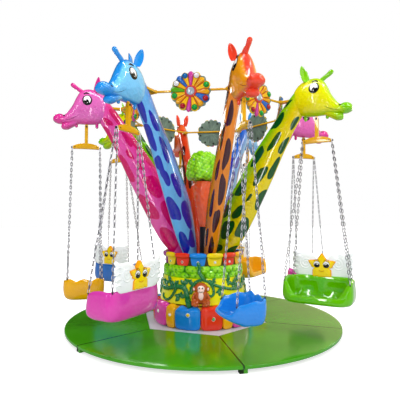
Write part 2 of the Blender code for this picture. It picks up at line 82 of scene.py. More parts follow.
def ramp(tree, value, low, high, first=0.0, last=1.0):
    """Even change from first to last while the value runs from low to high."""
    made = node(tree, "MapRange", Value=value, From_Min=low, From_Max=high, To_Min=first, To_Max=last)
    return made.outputs["Result"]


def mixed(tree, factor, first, second, kind="RGBA"):
    """First colour or number, and ever more of the second as the factor rises to one."""
    made = node(tree, "Mix", (("data_type", kind),), Factor=factor)
    first_socket, second_socket, result = (6, 7, 2) if kind == "RGBA" else (2, 3, 0)
    joined(tree, made.inputs[first_socket], first)
    joined(tree, made.inputs[second_socket], second)
    return made.outputs[result]


def noise(tree, place, scale, detail=2.0):
    """Soft noise between 0 and 1 at a place."""
    return node(tree, "TexNoise", Vector=place, Scale=scale, Detail=detail).outputs["Fac"]


def floor_material():
    """Pale matt floor whose tone wanders slightly with broad noise. It looks brighter and brighter
    away from the ride, as a studio floor that is lit on its own, and so it runs into the white behind;
    the ride's paint doesn't mirror that glow."""
    made = bpy.data.materials.new("pale_floor")
    made.use_nodes = True
    tree = made.node_tree
    place = node(tree, "TexCoord").outputs["Object"]
    distance = node(tree, "VectorMath", (("operation", "LENGTH"),), Vector=place)
    glow = ramp(tree, distance.outputs["Value"], 2.2, 6.0, 0.66, 1.0)
    seen = node(tree, "LightPath").outputs["Is Camera Ray"]
    tone = mixed(tree, noise(tree, place, 0.6), (0.60, 0.60, 0.60, 1.0), (0.64, 0.64, 0.64, 1.0))
    shader = tree.nodes["Principled BSDF"]
    for name, value in (
            ("Base Color", tone), ("Roughness", 0.85), ("Emission Color", WHITE),
            ("Emission Strength", mixed(tree, seen, 0.0, glow, "FLOAT"))):
        joined(tree, shader.inputs[name], value)
    return made


camera_data = bpy.data.cameras.new("camera")
camera_data.lens = CAMERA_LENS
camera_data.sensor_width = SENSOR_WIDTH
camera = bpy.data.objects.new("camera", camera_data)
camera.location = CAMERA_PLACE
camera.rotation_euler = (math.pi / 2 + CAMERA_UP_TILT, 0.0, CAMERA_TURN)
bpy.context.scene.collection.objects.link(camera)
bpy.context.scene.camera = camera
bpy.context.scene.view_settings.view_transform = "Standard"

floor_mesh = bpy.data.meshes.new("floor")
floor_mesh.from_pydata(
    [(FLOOR_HALF * x, FLOOR_HALF * y, 0.0) for x, y in ((-1, -1), (1, -1), (1, 1), (-1, 1))],
    [], [(0, 1, 2, 3)])
floor_mesh.materials.append(floor_material())
floor = bpy.data.objects.new("floor", floor_mesh)
bpy.context.scene.collection.objects.link(floor)

world = bpy.data.worlds.new("studio")
world.use_nodes = True
sky = world.node_tree
ray = node(sky, "LightPath").outputs
direction = node(sky, "SeparateXYZ", Vector=node(sky, "TexCoord").outputs["Generated"]).outputs
soft_light = ramp(sky, direction["Z"], 0.0, 0.7, 0.64, 0.84)
mirrored = ramp(sky, direction["X"], 0.12, 0.60, 0.03, 0.92)
by_ray = mixed(sky, ray["Is Glossy Ray"], soft_light, mirrored, "FLOAT")
strength = mixed(sky, ray["Is Camera Ray"], by_ray, 1.0, "FLOAT")
joined(sky, sky.nodes["Background"].inputs["Strength"], strength)
joined(sky, sky.nodes["Background"].inputs["Color"], mixed(sky, ray["Is Glossy Ray"], WHITE, WARM_WHITE))
bpy.context.scene.world = world

for name, place, aim, width, height, watts in PANELS:
    lamp = bpy.data.lights.new(name, "AREA")
    lamp.shape = "RECTANGLE"
    lamp.size = width
    lamp.size_y = height
    lamp.energy = watts
    panel = bpy.data.objects.new(name, lamp)
    bpy.context.scene.collection.objects.link(panel)
    x, y, z = np.array(aim, float) - np.array(place, float)
    panel.location = place
    panel.rotation_euler = (math.atan2(math.hypot(x, y), -z), 0.0, math.atan2(-x, y))

# The deck is six sheets of steel plate, each from the hexagon round the drum out to the rim, where
# the sheet is folded down. They are sprayed with green gloss paint, butt against each other along
# straight seams and stand on small square feet at the rim. The sheets' edges at each seam are
# painted darker green and a dark green flange lies in each seam gap: both are painted shade. One
# foot of each pair takes the flange's dark green as well.
DECK_PAINT = (60, 153, 4)
DECK_RADIUS = 2.0
DECK_TOP = 0.08
SHEET_THICKNESS = 0.022
RIM_BOTTOM = 0.045
RIM_WIDTH = 0.045
RIM_ROUNDING = 0.007
HEXAGON_RADIUS = 0.975
SEAM_TURN = math.radians(-93.0)
SEAM_GAP = 0.007
SEAM_COLUMN = 0.006
FLANGE_WIDTH = 0.02
FLANGE_TOP = 0.076
FLANGE_FOOT = 0.068
SEGMENTS = 6
FOOT_WIDTH = 0.044
FOOT_REACH = (1.930, 1.990)


def linear(red, green, blue):
    """Screen colour, 0 to 255, as the linear light that a shader takes."""
    screen = np.array([red, green, blue]) / 255.0
    return np.where(screen <= 0.04045, screen / 12.92, ((screen + 0.055) / 1.055) ** 2.4).tolist()


def enamel(name, colour, roughness=0.15, coat=0.5, wave=0.25, layers=(), metallic=0.0, fade=0.10, shine=0.2):
    """Gloss paint: the colour drifts a little darker and lighter with soft noise, and fine and broad
    bumps make the reflections wander as on hand-laid, sprayed mouldings. Each layer is (attribute,
    colour, softness): the colour covers the paint where the attribute is above zero."""
    made = bpy.data.materials.new(name)
    made.use_nodes = True
    tree = made.node_tree
    place = node(tree, "TexCoord").outputs["Object"]
    drift = noise(tree, place, 2.4, 4.0)

    def drifting(screen):
        dark, light = [(*(min(1.0, part * amount) for part in linear(*screen)), 1.0)
                       for amount in (1 - fade, 1 + fade)]
        return mixed(tree, drift, dark, light)

    paint = drifting(colour)
    for attribute, over, softness in layers:
        field = node(tree, "Attribute", (("attribute_name", attribute),)).outputs["Fac"]
        paint = mixed(tree, ramp(tree, field, -softness, softness), paint, drifting(over))
    normal = None
    for scale, detail, height, distance in (
            (7.0, 1.0, wave, 0.02), (26.0, 1.0, min(1.0, 1.3 * wave), 0.009), (160.0, 2.0, 0.10, 0.0015)):
        bump = node(tree, "Bump", Height=noise(tree, place, scale, detail), Strength=height,
                    Distance=distance)
        if normal:
            tree.links.new(normal, bump.inputs["Normal"])
        normal = bump.outputs["Normal"]
    sheen = ramp(tree, noise(tree, place, 11.0, 3.0), 0.0, 1.0, 0.7 * roughness, 1.4 * roughness)
    shader = tree.nodes["Principled BSDF"]
    for socket, value in (
            ("Base Color", paint), ("Roughness", sheen), ("Normal", normal), ("Metallic", metallic),
            ("Specular IOR Level", shine), ("Coat Weight", coat), ("Coat Roughness", 0.04)):
        joined(tree, shader.inputs[socket], value)
    return made


def shell(name, body, paints, patches, replaces=(), crease=42, weld=2e-5):
    """One mesh from point grids. A patch is (grid, paint number, marks): the grid is an array of
    [..., rows, columns, 3] whose neighbours are joined by quads, and marks are named arrays of
    [..., rows, columns]. Points that lie on each other are welded, which closes seams and poles."""
    points, faces, paint_of, marked = [], [], [], {}
    start = 0
    for patch in patches:
        grid = np.asarray(patch[0], float)
        rows, columns = grid.shape[-3:-1]
        index = np.arange(rows * columns).reshape(rows, columns)
        quads = np.stack([index[:-1, :-1], index[:-1, 1:], index[1:, 1:], index[1:, :-1]], axis=-1)
        copies = start + np.arange(0, grid.size // 3, rows * columns)
        faces.append((quads.reshape(1, -1, 4) + copies[:, None, None]).reshape(-1, 4))
        points.append(grid.reshape(-1, 3))
        paint_of.append(np.full(len(faces[-1]), patch[1]))
        for key, marks in (patch[2] if len(patch) > 2 else {}).items():
            marked.setdefault(key, []).append((start, np.broadcast_to(marks, grid.shape[:-1]).ravel()))
        start += len(points[-1])
    mesh = bpy.data.meshes.new(name)
    mesh.from_pydata(np.concatenate(points).tolist(), [], np.concatenate(faces).tolist())
    mesh.polygons.foreach_set("material_index", np.concatenate(paint_of).astype(np.int32))
    for key, parts in marked.items():
        values = np.full(start, -1.0, np.float32)
        for first, part in parts:
            values[first:first + len(part)] = part
        mesh.attributes.new(key, "FLOAT", "POINT").data.foreach_set("value", values)
    work = bmesh.new()
    work.from_mesh(mesh)
    bmesh.ops.remove_doubles(work, verts=work.verts, dist=weld)
    bmesh.ops.recalc_face_normals(work, faces=work.faces)
    work.to_mesh(mesh)
    work.free()
    mesh.shade_smooth()
    mesh.set_sharp_from_angle(angle=math.radians(crease))
    for paint in paints:
        mesh.materials.append(paint)
    made = bpy.data.objects.new(name, mesh)
    bpy.context.scene.collection.objects.link(made)
    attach(made, body)
    if replaces:
        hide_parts(*replaces)


def polar(radius, angle, height):
    """Points from their distance to the ride's axis, their direction about it and their height."""
    return np.stack(np.broadcast_arrays(radius * np.cos(angle), radius * np.sin(angle), height), -1)


def placed(grid, turn, out=0.0):
    """Points moved outwards along X, then turned about the ride's upright axis."""
    x = grid[..., 0] + out
    y = grid[..., 1]
    cosine, sine = math.cos(turn), math.sin(turn)
    return np.stack([x * cosine - y * sine, x * sine + y * cosine, grid[..., 2]], -1)


def slab(low, high, turn=0.0):
    """Box between two corners in its own axes, turned about the ride's axis."""
    (x0, y0, z0), (x1, y1, z1) = low, high
    ring = np.array([(x0, y0), (x1, y0), (x1, y1), (x0, y1), (x0, y0)])
    middle = np.array([[(x0 + x1) / 2, (y0 + y1) / 2]] * 5)
    rows = [(middle, z0), (ring, z0), (ring, z1), (middle, z1)]
    return placed(np.stack([np.concatenate([flat, np.full((5, 1), z)], -1) for flat, z in rows]), turn)


def deck_sheet(start, end):
    """Plate from the hexagon's edge to the rim. The profile runs along the top, rounds down over the
    folded rim and comes back below; it is carried from seam to seam, and each end closes on one
    level so that the seam faces are flat. Returns the grid and a mark of the seams, for painted shade."""
    between = np.linspace(start + SEAM_COLUMN * 3, end - SEAM_COLUMN * 3, 47)
    angle = np.concatenate([[start, start + SEAM_COLUMN], between, [end - SEAM_COLUMN, end]])[:, None]
    middle = 0.5 * (start + end)
    inner = HEXAGON_RADIUS * math.cos(math.pi / SEGMENTS) / np.cos(angle - middle)
    bend = np.linspace(0, math.pi / 2, 6)
    under = DECK_TOP - SHEET_THICKNESS
    share = np.concatenate([np.linspace(0, 1, 14)[:-1], np.ones(14), np.linspace(1, 0, 8), [0]])
    reach = np.concatenate([
        np.full(13, DECK_RADIUS - RIM_ROUNDING), DECK_RADIUS - RIM_ROUNDING * (1 - np.sin(bend)),
        DECK_RADIUS - RIM_ROUNDING * 0.4 * (1 - np.cos(bend)), np.full(11, DECK_RADIUS - RIM_WIDTH)])
    height = np.concatenate([
        np.full(13, DECK_TOP), DECK_TOP - RIM_ROUNDING * (1 - np.cos(bend)),
        RIM_BOTTOM + 0.003 * (1 - np.sin(bend)), [RIM_BOTTOM], np.full(9, under), [DECK_TOP]])
    radius = inner * (1 - share) + reach * share
    seam = 0.5 * SEAM_GAP * np.sign(middle - angle) * (np.abs(angle - middle) > 0.49 * (end - start))
    grid = polar(radius, angle + seam / radius, height)
    flat_end = grid[[0, -1]].copy()
    flat_end[..., 2] = under + 0.3 * SHEET_THICKNESS
    closed = np.concatenate([flat_end[:1], grid, flat_end[1:]])
    mark = np.full(closed.shape[:2], -1.0)
    mark[[0, 1, -2, -1]] = 1.0
    return closed, mark


# The darker green on the seam mark and the dark flange paint are painted shade in the seam gaps.
deck_paint = enamel("deck_green_gloss", DECK_PAINT, roughness=0.14, coat=0.0, wave=0.05, fade=0.22,
                    shine=0.6, layers=(("seam", (16, 50, 8), 0.7),))
flange_shade_paint = enamel("deck_flange_painted_shade", (20, 42, 12), roughness=0.5, coat=0.0)
for number in range(SEGMENTS):
    first_seam = SEAM_TURN + number * math.pi / 3
    last_seam = first_seam + math.pi / 3
    sheet, seam_shade_mark = deck_sheet(first_seam, last_seam)
    patches = [(sheet, 0, {"seam": seam_shade_mark})]
    for turn, side, foot_paint in ((first_seam, 1, 0), (last_seam, -1, 1)):
        patches.append((slab((HEXAGON_RADIUS + 0.002, side * 0.0002, FLANGE_FOOT),
                             (DECK_RADIUS - 0.004, side * FLANGE_WIDTH, FLANGE_TOP), turn), 1))
        patches.append((slab((FOOT_REACH[0], side * 0.0005, 0.0),
                             (FOOT_REACH[1], side * FOOT_WIDTH, DECK_TOP - SHEET_THICKNESS - 0.0005),
                             turn), foot_paint))
    shell(f"deck_sheet_{number + 1}", "base", [deck_paint, flange_shade_paint], patches,
          [f"deck_segment_{number + 1}"], crease=30)

# A light grey hexagonal steel plate lies under the drum, with a dark gap between it and the deck.
# It is satin painted. The slewing bearing and the turntable above the drum are dark steel, and so is
# the slim pole that carries the tree.
plate_paint = enamel("pale_plate_paint", (196, 203, 206), roughness=0.32, coat=0.1, wave=0.05)
dark_steel = enamel("dark_machine_steel", (52, 52, 58), roughness=0.32, coat=0.0, wave=0.1, metallic=0.7)
for piece, paint in (
        ("base_plate", plate_paint), ("slewing_bearing", dark_steel), ("turntable", dark_steel),
        ("centre_pole", dark_steel)):
    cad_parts[piece].data.materials.clear()
    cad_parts[piece].data.materials.append(paint)

# The drum stands on a ring of sixteen bulging blocks of moulded fibreglass in four gloss colours.
# Narrow, wide and middling ones follow each other, and each carries a small domed lamp in a white
# ring.
BLOCK_TURN = math.radians(-149.5)
BLOCK_DEGREES = (12.5, 29.3, 24.0) * 5 + (31.0,)
BLOCK_COLOURS = (
    "orange", "blue", "red", "orange", "magenta", "blue", "orange", "red", "blue",
    "orange", "magenta", "red", "orange", "blue", "red", "magenta")
BLOCK_FOOT = 0.0725
BLOCK_TOP = 0.394
BLOCK_MIDDLE_RADIUS = 0.692
BLOCK_HALF_DEPTH = 0.060
BLOCK_HUMPS = (0.008, 0.034, 0.020)
LAMP_RADIUS = 0.7495
LAMP_SIZE = 0.023
LAMP_HEIGHTS = (0.253, 0.280, 0.232, 0.262)
LAMP_COLOURS = ("white", "yellow", "green", "white", "red")

block_paints = {name: enamel(f"block_{name}", colour) for name, colour in (
    ("orange", (248, 178, 14)), ("blue", (20, 132, 222)), ("red", (232, 52, 26)),
    ("magenta", (226, 72, 172)), ("yellow", (238, 208, 0)), ("purple", (150, 48, 140)))}
# A dark olive for the ring behind the collar blocks: painted shade in the gaps between them.
block_paints["gap"] = enamel("collar_gap_shade", (72, 58, 16), roughness=0.4, coat=0.0)
lamp_paints = {name: enamel(f"lamp_{name}", colour, roughness=roughness, coat=1.0)
               for name, colour, roughness in (
                   ("white", (238, 236, 240), 0.1), ("yellow", (250, 205, 10), 0.08),
                   ("green", (10, 165, 60), 0.08), ("red", (178, 8, 35), 0.08),
                   ("blue", (10, 105, 175), 0.08))}
lamp_paints["rim"] = enamel("lamp_rim_white", (235, 235, 232), roughness=0.2)
block_names = list(block_paints)
lamp_names = list(lamp_paints)
drum_paints = [*block_paints.values(), *lamp_paints.values()]


def power(value, exponent):
    """The value raised to an exponent with its sign kept."""
    return np.sign(value) * np.abs(value) ** exponent


def pillow(middle_angle, half_angle, middle_radius, half_depth, low, high, square=5.0, rows=23, columns=33,
           hump=0.0, sag=0.0, taper=0.0):
    """Rounded block bent round the drum: a superellipsoid whose three axes are the angle round the
    drum, the radius and the height. hump raises the top in two waves, sag leans the front down and
    taper narrows the foot."""
    down = np.linspace(-math.pi / 2, math.pi / 2, rows)[:, None]
    round_ = np.linspace(0, 2 * math.pi, columns)[None, :]
    soft = 2.0 / square
    across = power(np.sin(down), soft) * np.ones_like(round_)
    ring = power(np.cos(down), soft)
    depth = ring * power(np.cos(round_), soft)
    rise = ring * power(np.sin(round_), soft)
    angle = middle_angle + half_angle * across * (1 - 0.5 * taper * (1 - rise))
    radius = middle_radius + half_depth * depth * (1 + 0.10 * np.cos(2.2 * rise))
    height = 0.5 * (low + high) + 0.5 * (high - low) * rise
    top = np.clip(rise, 0, 1) ** 3
    arch = 0.5 * math.pi * across
    waves = np.abs(np.sin(2 * arch + math.pi)) if hump > 0.01 else np.cos(arch)
    return polar(radius, angle, height - hump * top * (1 - waves) - sag * top * np.clip(depth, 0, 1))


def spun(profile, origin, axis, sides=16):
    """Profile of (radius, height) pairs turned about an axis through the origin."""
    axis = np.array(axis, float) / np.linalg.norm(axis)
    helper = np.array([0.0, 0.0, 1.0]) if abs(axis[2]) < 0.9 else np.array([1.0, 0.0, 0.0])
    first = np.cross(helper, axis)
    first /= np.linalg.norm(first)
    second = np.cross(axis, first)
    profile = np.array(profile, float)
    angle = np.linspace(0, 2 * math.pi, sides + 1)
    wheel = np.cos(angle)[:, None] * first + np.sin(angle)[:, None] * second
    return np.array(origin) + profile[:, :1, None] * wheel[None] + profile[:, 1:, None] * axis


def domed_lamp(origin, axis, size, rim, dome, first_paint):
    """Small signal lamp, as patches: a flat turned ring with a half-round bulb in it. The lamps'
    paints are counted from first_paint."""
    ring = [(0, -0.2), (1.25, -0.2), (1.3, 0.1), (1.2, 0.3), (0.95, 0.32), (0.9, 0.1), (0, 0.1)]
    bend = np.linspace(0, math.pi / 2, 5)
    bulb = [(0, 0.0), *zip(0.88 * np.cos(bend), 0.12 + 0.85 * np.sin(bend))]
    return [(spun(size * np.array(profile), origin, axis), first_paint + lamp_names.index(paint))
            for profile, paint in ((ring, rim), (bulb, dome))]


core = [(0.0, 0.074), (0.665, 0.074), (0.665, 0.37), (0.0, 0.37)]
patches = [(spun(core, (0, 0, 0), (0, 0, 1), 96), block_names.index("orange"))]
edge = BLOCK_TURN
for number, (span, colour) in enumerate(zip(BLOCK_DEGREES, BLOCK_COLOURS)):
    half = 0.5 * math.radians(span)
    middle = edge + half
    edge += 2 * half
    block = pillow(
        middle, half * 0.995, BLOCK_MIDDLE_RADIUS, BLOCK_HALF_DEPTH, BLOCK_FOOT,
        BLOCK_TOP - 0.008 * math.sin(2.4 * number), square=5.5 if span > 20 else 4.5,
        hump=BLOCK_HUMPS[number % 3], sag=0.022 + 0.01 * math.sin(1.7 * number))
    patches.append((block, block_names.index(colour)))
    turn = middle + 0.1 * half
    patches += domed_lamp(
        polar(LAMP_RADIUS, turn, LAMP_HEIGHTS[number % 4]), polar(1.0, turn, 0.0), LAMP_SIZE, "rim",
        LAMP_COLOURS[number % 5], len(block_names))
shell("foot_blocks", "base", drum_paints, patches, ["drum_blocks"])

# Above the blocks rises a slightly conical yellow wall. A moulded jungle climbs over it: dark green
# creepers with curled ends and leaves, and a brown monkey that sits on the blocks in a yellow
# niche. All of it is fibreglass, painted by hand, and made twice, half a turn apart.
WALL_FOOT = 0.3925
WALL_TOP = 0.745
WALL_FOOT_RADIUS = 0.655
WALL_TOP_RADIUS = 0.598
CAMERA_AZIMUTH = math.radians(-15.03)
MONKEY_SEEN = -2.6
NICHE_HEIGHT = 0.585
NICHE_RADIUS = 0.125
NICHE_BAR = 0.012
# Above this height a stem keeps to one radius, as it lies against the leaves there
STEM_BEND_HEIGHT = 0.74
STEM_BEND_RADIUS = 0.612
# Creepers: places as (degrees right of the middle as seen, height), and the first and last girth
CREEPERS = (
    (((-6.1, 0.950), (-4.4, 0.890), (-5.0, 0.841), (-2.8, 0.793), (1.4, 0.733), (9.0, 0.695), (16.7, 0.656),
      (27.3, 0.617), (41.2, 0.589), (56.2, 0.585), (74.0, 0.620), (86.0, 0.560)), (0.025, 0.021)),
    (((1.4, 0.727), (-6.1, 0.720), (-11.5, 0.676), (-14.2, 0.620), (-15.3, 0.559)), (0.021, 0.028)),
    (((6.8, 0.708), (11.1, 0.658), (13.3, 0.597), (12.8, 0.537), (9.4, 0.512), (7.2, 0.526)),
     (0.022, 0.017)),
    (((-15.9, 0.385), (-18.2, 0.436), (-20.5, 0.519), (-22.9, 0.590), (-27.8, 0.622), (-35.8, 0.626),
      (-45.1, 0.601), (-59.7, 0.577), (-78.0, 0.610), (-92.0, 0.655)), (0.044, 0.026)),
    (((-37.2, 0.599), (-40.2, 0.533), (-45.0, 0.464), (-52.5, 0.425), (-61.0, 0.446), (-63.0, 0.490)),
     (0.025, 0.014)))
# Leaf clusters: degrees right of the middle as seen, height, length of a leaf
LEAF_CLUSTERS = (
    (-19.3, 0.700, 0.085), (-30.3, 0.497, 0.100), (22.5, 0.585, 0.085), (49.9, 0.680, 0.095),
    (36.0, 0.700, 0.080), (-48.7, 0.680, 0.090), (-59.8, 0.655, 0.090), (12.0, 0.715, 0.065),
    (64.7, 0.647, 0.090), (-14.0, 0.650, 0.065), (-26.0, 0.660, 0.080), (83.0, 0.660, 0.090),
    (-84.0, 0.520, 0.090), (78.0, 0.480, 0.090), (27.0, 0.480, 0.080), (-38.0, 0.655, 0.070),
    (44.0, 0.640, 0.080))
# The monkey's rounded masses: place across, height and lift from the wall, half lengths across, up
# and out, paint, how far locks of hair swell, how many locks
HAIR, FACE, DARK, PALE = range(4)
MONKEY_MASSES = (
    ((0.0, 0.615, 0.0), (0.092, 0.084, 0.060), HAIR, 0.05, 14),
    ((0.0, 0.508, -0.005), (0.098, 0.112, 0.055), HAIR, 0.04, 12),
    ((0.002, 0.522, 0.024), (0.044, 0.066, 0.038), FACE, 0.0, 9),
    ((0.0, 0.622, 0.034), (0.058, 0.050, 0.032), FACE, 0.0, 9),
    ((0.0, 0.592, 0.040), (0.046, 0.030, 0.034), FACE, 0.0, 9),
    ((0.0, 0.672, 0.020), (0.030, 0.030, 0.040), HAIR, 0.10, 9))
# The same for those on both sides: ear, inner ear, eye, pupil, foot
MONKEY_PAIRS = (
    ((0.094, 0.612, 0.006), (0.026, 0.034, 0.022), HAIR),
    ((0.097, 0.612, 0.022), (0.014, 0.021, 0.012), FACE),
    ((0.022, 0.634, 0.061), (0.012, 0.016, 0.008), PALE),
    ((0.021, 0.632, 0.0655), (0.0085, 0.012, 0.006), DARK),
    ((0.045, 0.412, 0.070), (0.032, 0.014, 0.018), HAIR))
# Limbs: places along the limb, girth, how fast its swellings follow each other
MONKEY_LIMBS = (
    (((0.080, 0.555, 0.020), (0.108, 0.500, 0.035), (0.088, 0.450, 0.055), (0.045, 0.440, 0.070)), 0.020,
     1.0),
    (((0.045, 0.440, 0.020), (0.095, 0.465, 0.050), (0.100, 0.425, 0.070), (0.060, 0.410, 0.065)), 0.026,
     1.3))


def wall_radius(height):
    """Radius of the conical wall at a height."""
    share = (np.asarray(height) - WALL_FOOT) / (WALL_TOP - WALL_FOOT)
    return WALL_FOOT_RADIUS + (WALL_TOP_RADIUS - WALL_FOOT_RADIUS) * share


def seen_angle(degrees):
    """Direction about the axis of a place given by how far right of the drum's middle it is seen."""
    return np.radians(degrees) + CAMERA_AZIMUTH - math.pi / 2


def smooth(rows, count):
    """Catmull-Rom curve through the rows, each a point or any list of values, at even steps."""
    rows = np.array(rows, float)
    padded = np.concatenate([2 * rows[:1] - rows[1:2], rows, 2 * rows[-1:] - rows[-2:-1]])
    place = np.linspace(0, len(rows) - 1, count)
    first = np.clip(place.astype(int), 0, len(rows) - 2)
    t = (place - first)[:, None]
    a, b, c, d = (padded[first + step] for step in range(4))
    return 0.5 * (
        2 * b + (c - a) * t + (2 * a - 5 * b + 4 * c - d) * t ** 2 + (3 * b - a - 3 * c + d) * t ** 3)


def tube(path, radius, sides=10, outward=(0.0, 0.0, 1.0)):
    """Round bar carried along a path, with half-round ends. The ring at each point lies square to the
    path; outward says which way the ring's first point looks."""
    path = np.array(path, float)
    outward = np.broadcast_to(np.array(outward, float), path.shape)
    radius = np.broadcast_to(np.asarray(radius, float), len(path))
    along = np.gradient(path, axis=0)
    along /= np.linalg.norm(along, axis=1, keepdims=True)
    bend = np.linspace(0, math.pi / 2, 4)[:-1]
    head = path[:1] - along[:1] * (radius[0] * np.cos(bend))[:, None]
    tail = path[-1:] + along[-1:] * (radius[-1] * np.cos(bend[::-1]))[:, None]
    radius = np.concatenate([radius[0] * np.sin(bend), radius, radius[-1] * np.sin(bend[::-1])])
    path = np.concatenate([head, path, tail])
    along, up = (np.concatenate([np.repeat(part[:1], 3, 0), part, np.repeat(part[-1:], 3, 0)])
                 for part in (along, outward))
    up = up - (up * along).sum(1, keepdims=True) * along
    up /= np.linalg.norm(up, axis=1, keepdims=True)
    side = np.cross(along, up)
    angle = np.linspace(0, 2 * math.pi, sides + 1)
    ring = np.cos(angle)[None, :, None] * up[:, None] + np.sin(angle)[None, :, None] * side[:, None]
    return path[:, None] + radius[:, None, None] * ring


def creeper(route, girths):
    """Stem along a route on the wall, which grows from its first girth to its last with slow knots."""
    route = smooth(route, 12 * len(route))
    step = np.arange(len(route))
    radius = np.where(route[:, 1] > STEM_BEND_HEIGHT, STEM_BEND_RADIUS, wall_radius(route[:, 1]))
    path = polar(radius + 0.004 + 0.004 * np.sin(0.9 * step), seen_angle(route[:, 0]), route[:, 1])
    girth = np.linspace(*girths, len(route)) * (1 + 0.10 * np.sin(1.7 * step))
    return tube(path, girth, 10, path * np.array([1, 1, 0]))


def leaf(origin, axes, length, lean):
    """Pointed leaf lying on a surface: its outline is a sine arch along its length, its face is
    domed with a groove along the rib, and its back is flat. lean turns it in the surface."""
    right, up, out = axes
    width = 0.30 * length
    s = np.linspace(0, 1, 8)[:, None]
    t = np.linspace(-1, 1, 7)[None, :]
    x = width * np.sin(math.pi * s ** 0.8) ** 0.9 * t
    y = length * s * np.ones_like(t)
    dome = np.sqrt(np.clip(1 - t ** 2, 0, 1)) * np.sin(math.pi * s) ** 0.5
    face = (0.32 * width + 0.2 * width * np.abs(t) ** 0.5) * dome + 0.25 * length * s * (1 - s)
    cosine, sine = math.cos(lean), math.sin(lean)
    flat = origin + (cosine * x - sine * y)[..., None] * right + (sine * x + cosine * y)[..., None] * up
    front = flat + face[..., None] * out
    return np.concatenate([front, (flat - 0.004 * out)[:, ::-1], front[:, :1]], axis=1)


def axes_at(angle):
    """The directions to the right, up and out at a place on the drum."""
    right = np.array([-math.sin(angle), math.cos(angle), 0.0])
    return right, np.array([0.0, 0.0, 1.0]), np.array([math.cos(angle), math.sin(angle), 0.0])


def leaf_cluster(degrees, height, size, turn):
    """Five leaves that fan out from one point of the wall."""
    angle = seen_angle(degrees)
    origin = polar(wall_radius(height) + 0.006, angle, height)
    lengths = size * (0.8 + 0.3 * np.cos(1.7 * np.arange(5)))
    return [leaf(origin, axes_at(angle), length, lean)
            for length, lean in zip(lengths, turn + np.linspace(-1.9, 1.9, 5))]


def blob(centre, radii, axes, tuft=0.0, knots=9):
    """Ellipsoid on three axes; tuft makes its surface swell and sink in waves, like locks of hair."""
    down = np.linspace(0, math.pi, 17)[:, None]
    round_ = np.linspace(0, 2 * math.pi, 25)[None, :]
    swell = 1 + tuft * np.sin(knots * round_ + 4 * np.sin(3 * down)) * np.sin(down)
    ring = np.sin(down) * swell
    x, y, z = np.broadcast_arrays(
        radii[0] * ring * np.cos(round_), radii[1] * np.cos(down), radii[2] * ring * np.sin(round_))
    return np.array(centre) + x[..., None] * axes[0] + y[..., None] * axes[1] + z[..., None] * axes[2]


def monkey(angle):
    """Seated monkey in high relief, as patches: masses of hair and face, limbs and a drawn smile."""
    axes = axes_at(angle)
    right, up, out = axes

    def at(across, height, lift, side=1):
        return (wall_radius(height) + lift) * out + side * across * right + height * up

    made = [(blob(at(*place), radii, axes, tuft, knots), paint)
            for place, radii, paint, tuft, knots in MONKEY_MASSES]
    for side in (-1, 1):
        made += [(blob(at(*place, side), radii, axes), paint) for place, radii, paint in MONKEY_PAIRS]
        made += [(tube(smooth([at(*place, side) for place in places], 24),
                       girth + 0.003 * np.sin(pace * np.arange(24)), 10, out), HAIR)
                 for places, girth, pace in MONKEY_LIMBS]
    smile = smooth([at(-0.022, 0.590, 0.0715), at(0.0, 0.582, 0.0745), at(0.022, 0.590, 0.0715)], 12)
    return [*made, (tube(smile, 0.0026, 6, out), DARK)]


def niche(angle):
    """Raised yellow arch round the monkey: a bar bent up, over and down on the wall."""
    turn = np.linspace(math.radians(-25), math.radians(205), 40)
    height = NICHE_HEIGHT + NICHE_RADIUS * np.sin(turn)
    radius = wall_radius(height)
    path = polar(radius + 0.002, angle + NICHE_RADIUS * np.cos(turn) / radius, height)
    return tube(path, NICHE_BAR, 8, path * np.array([1, 1, 0]))


wall_yellow = enamel("wall_yellow", (236, 232, 0), wave=0.3)
creeper_green = enamel("creeper_green", (12, 116, 60), roughness=0.10, coat=1.0, wave=0.8, fade=0.35,
                       shine=0.4)
monkey_brown = enamel("monkey_brown", (182, 84, 34), roughness=0.2, wave=0.7, fade=0.3)
monkey_face = enamel("monkey_face", (255, 214, 205), roughness=0.2)
eye_black = enamel("eye_black", (12, 12, 14), roughness=0.1)
eye_white = enamel("eye_white", (245, 245, 245), roughness=0.1)
around = np.linspace(0, 2 * math.pi, 193)[None, :]
wall_rows = np.concatenate([
    [(0.0, WALL_FOOT)], np.linspace((WALL_FOOT_RADIUS, WALL_FOOT), (WALL_TOP_RADIUS, WALL_TOP), 25),
    [(0.0, WALL_TOP)]])
wall_wave = 0.003 * np.sin(7 * around) * np.sin(9 * math.pi * wall_rows[:, 1:])
wall = polar(wall_rows[:, :1] + wall_wave * (wall_rows[:, :1] > 0.1), around, wall_rows[:, 1:])
shell("yellow_wall", "base", [wall_yellow],
      [(wall, 0), (niche(seen_angle(MONKEY_SEEN)), 0), (niche(seen_angle(MONKEY_SEEN + 180)), 0)],
      ["drum_wall"])
patches = []
for half_turn in (0.0, 180.0):
    for route, girths in CREEPERS:
        patches.append((creeper([(degrees + half_turn, height) for degrees, height in route], girths), 0))
    for number, (degrees, height, size) in enumerate(LEAF_CLUSTERS):
        patches += [(grid, 0) for grid in leaf_cluster(degrees + half_turn, height, size, 0.5 * number)]
shell("creepers", "base", [creeper_green], patches)
for number, half_turn in enumerate((0.0, 180.0)):
    shell(f"monkey_{number + 1}", "base", [monkey_brown, monkey_face, eye_black, eye_white],
          monkey(seen_angle(MONKEY_SEEN + half_turn)))

# A band of green leaves hides the drum's upper edge. It is one fibreglass moulding in gloss green, a
# heap of round leafy lumps with small bumps on them. Its paint is darker in the crevices, painted
# shade, and lighter yellow green on the tops of the lumps, painted highlight.
LEAF_FOOT = 0.728
LEAF_TOP = 0.9135
LEAF_RADIUS = 0.552
LEAF_BACK_RADIUS = 0.53
LEAF_HANG = 0.016
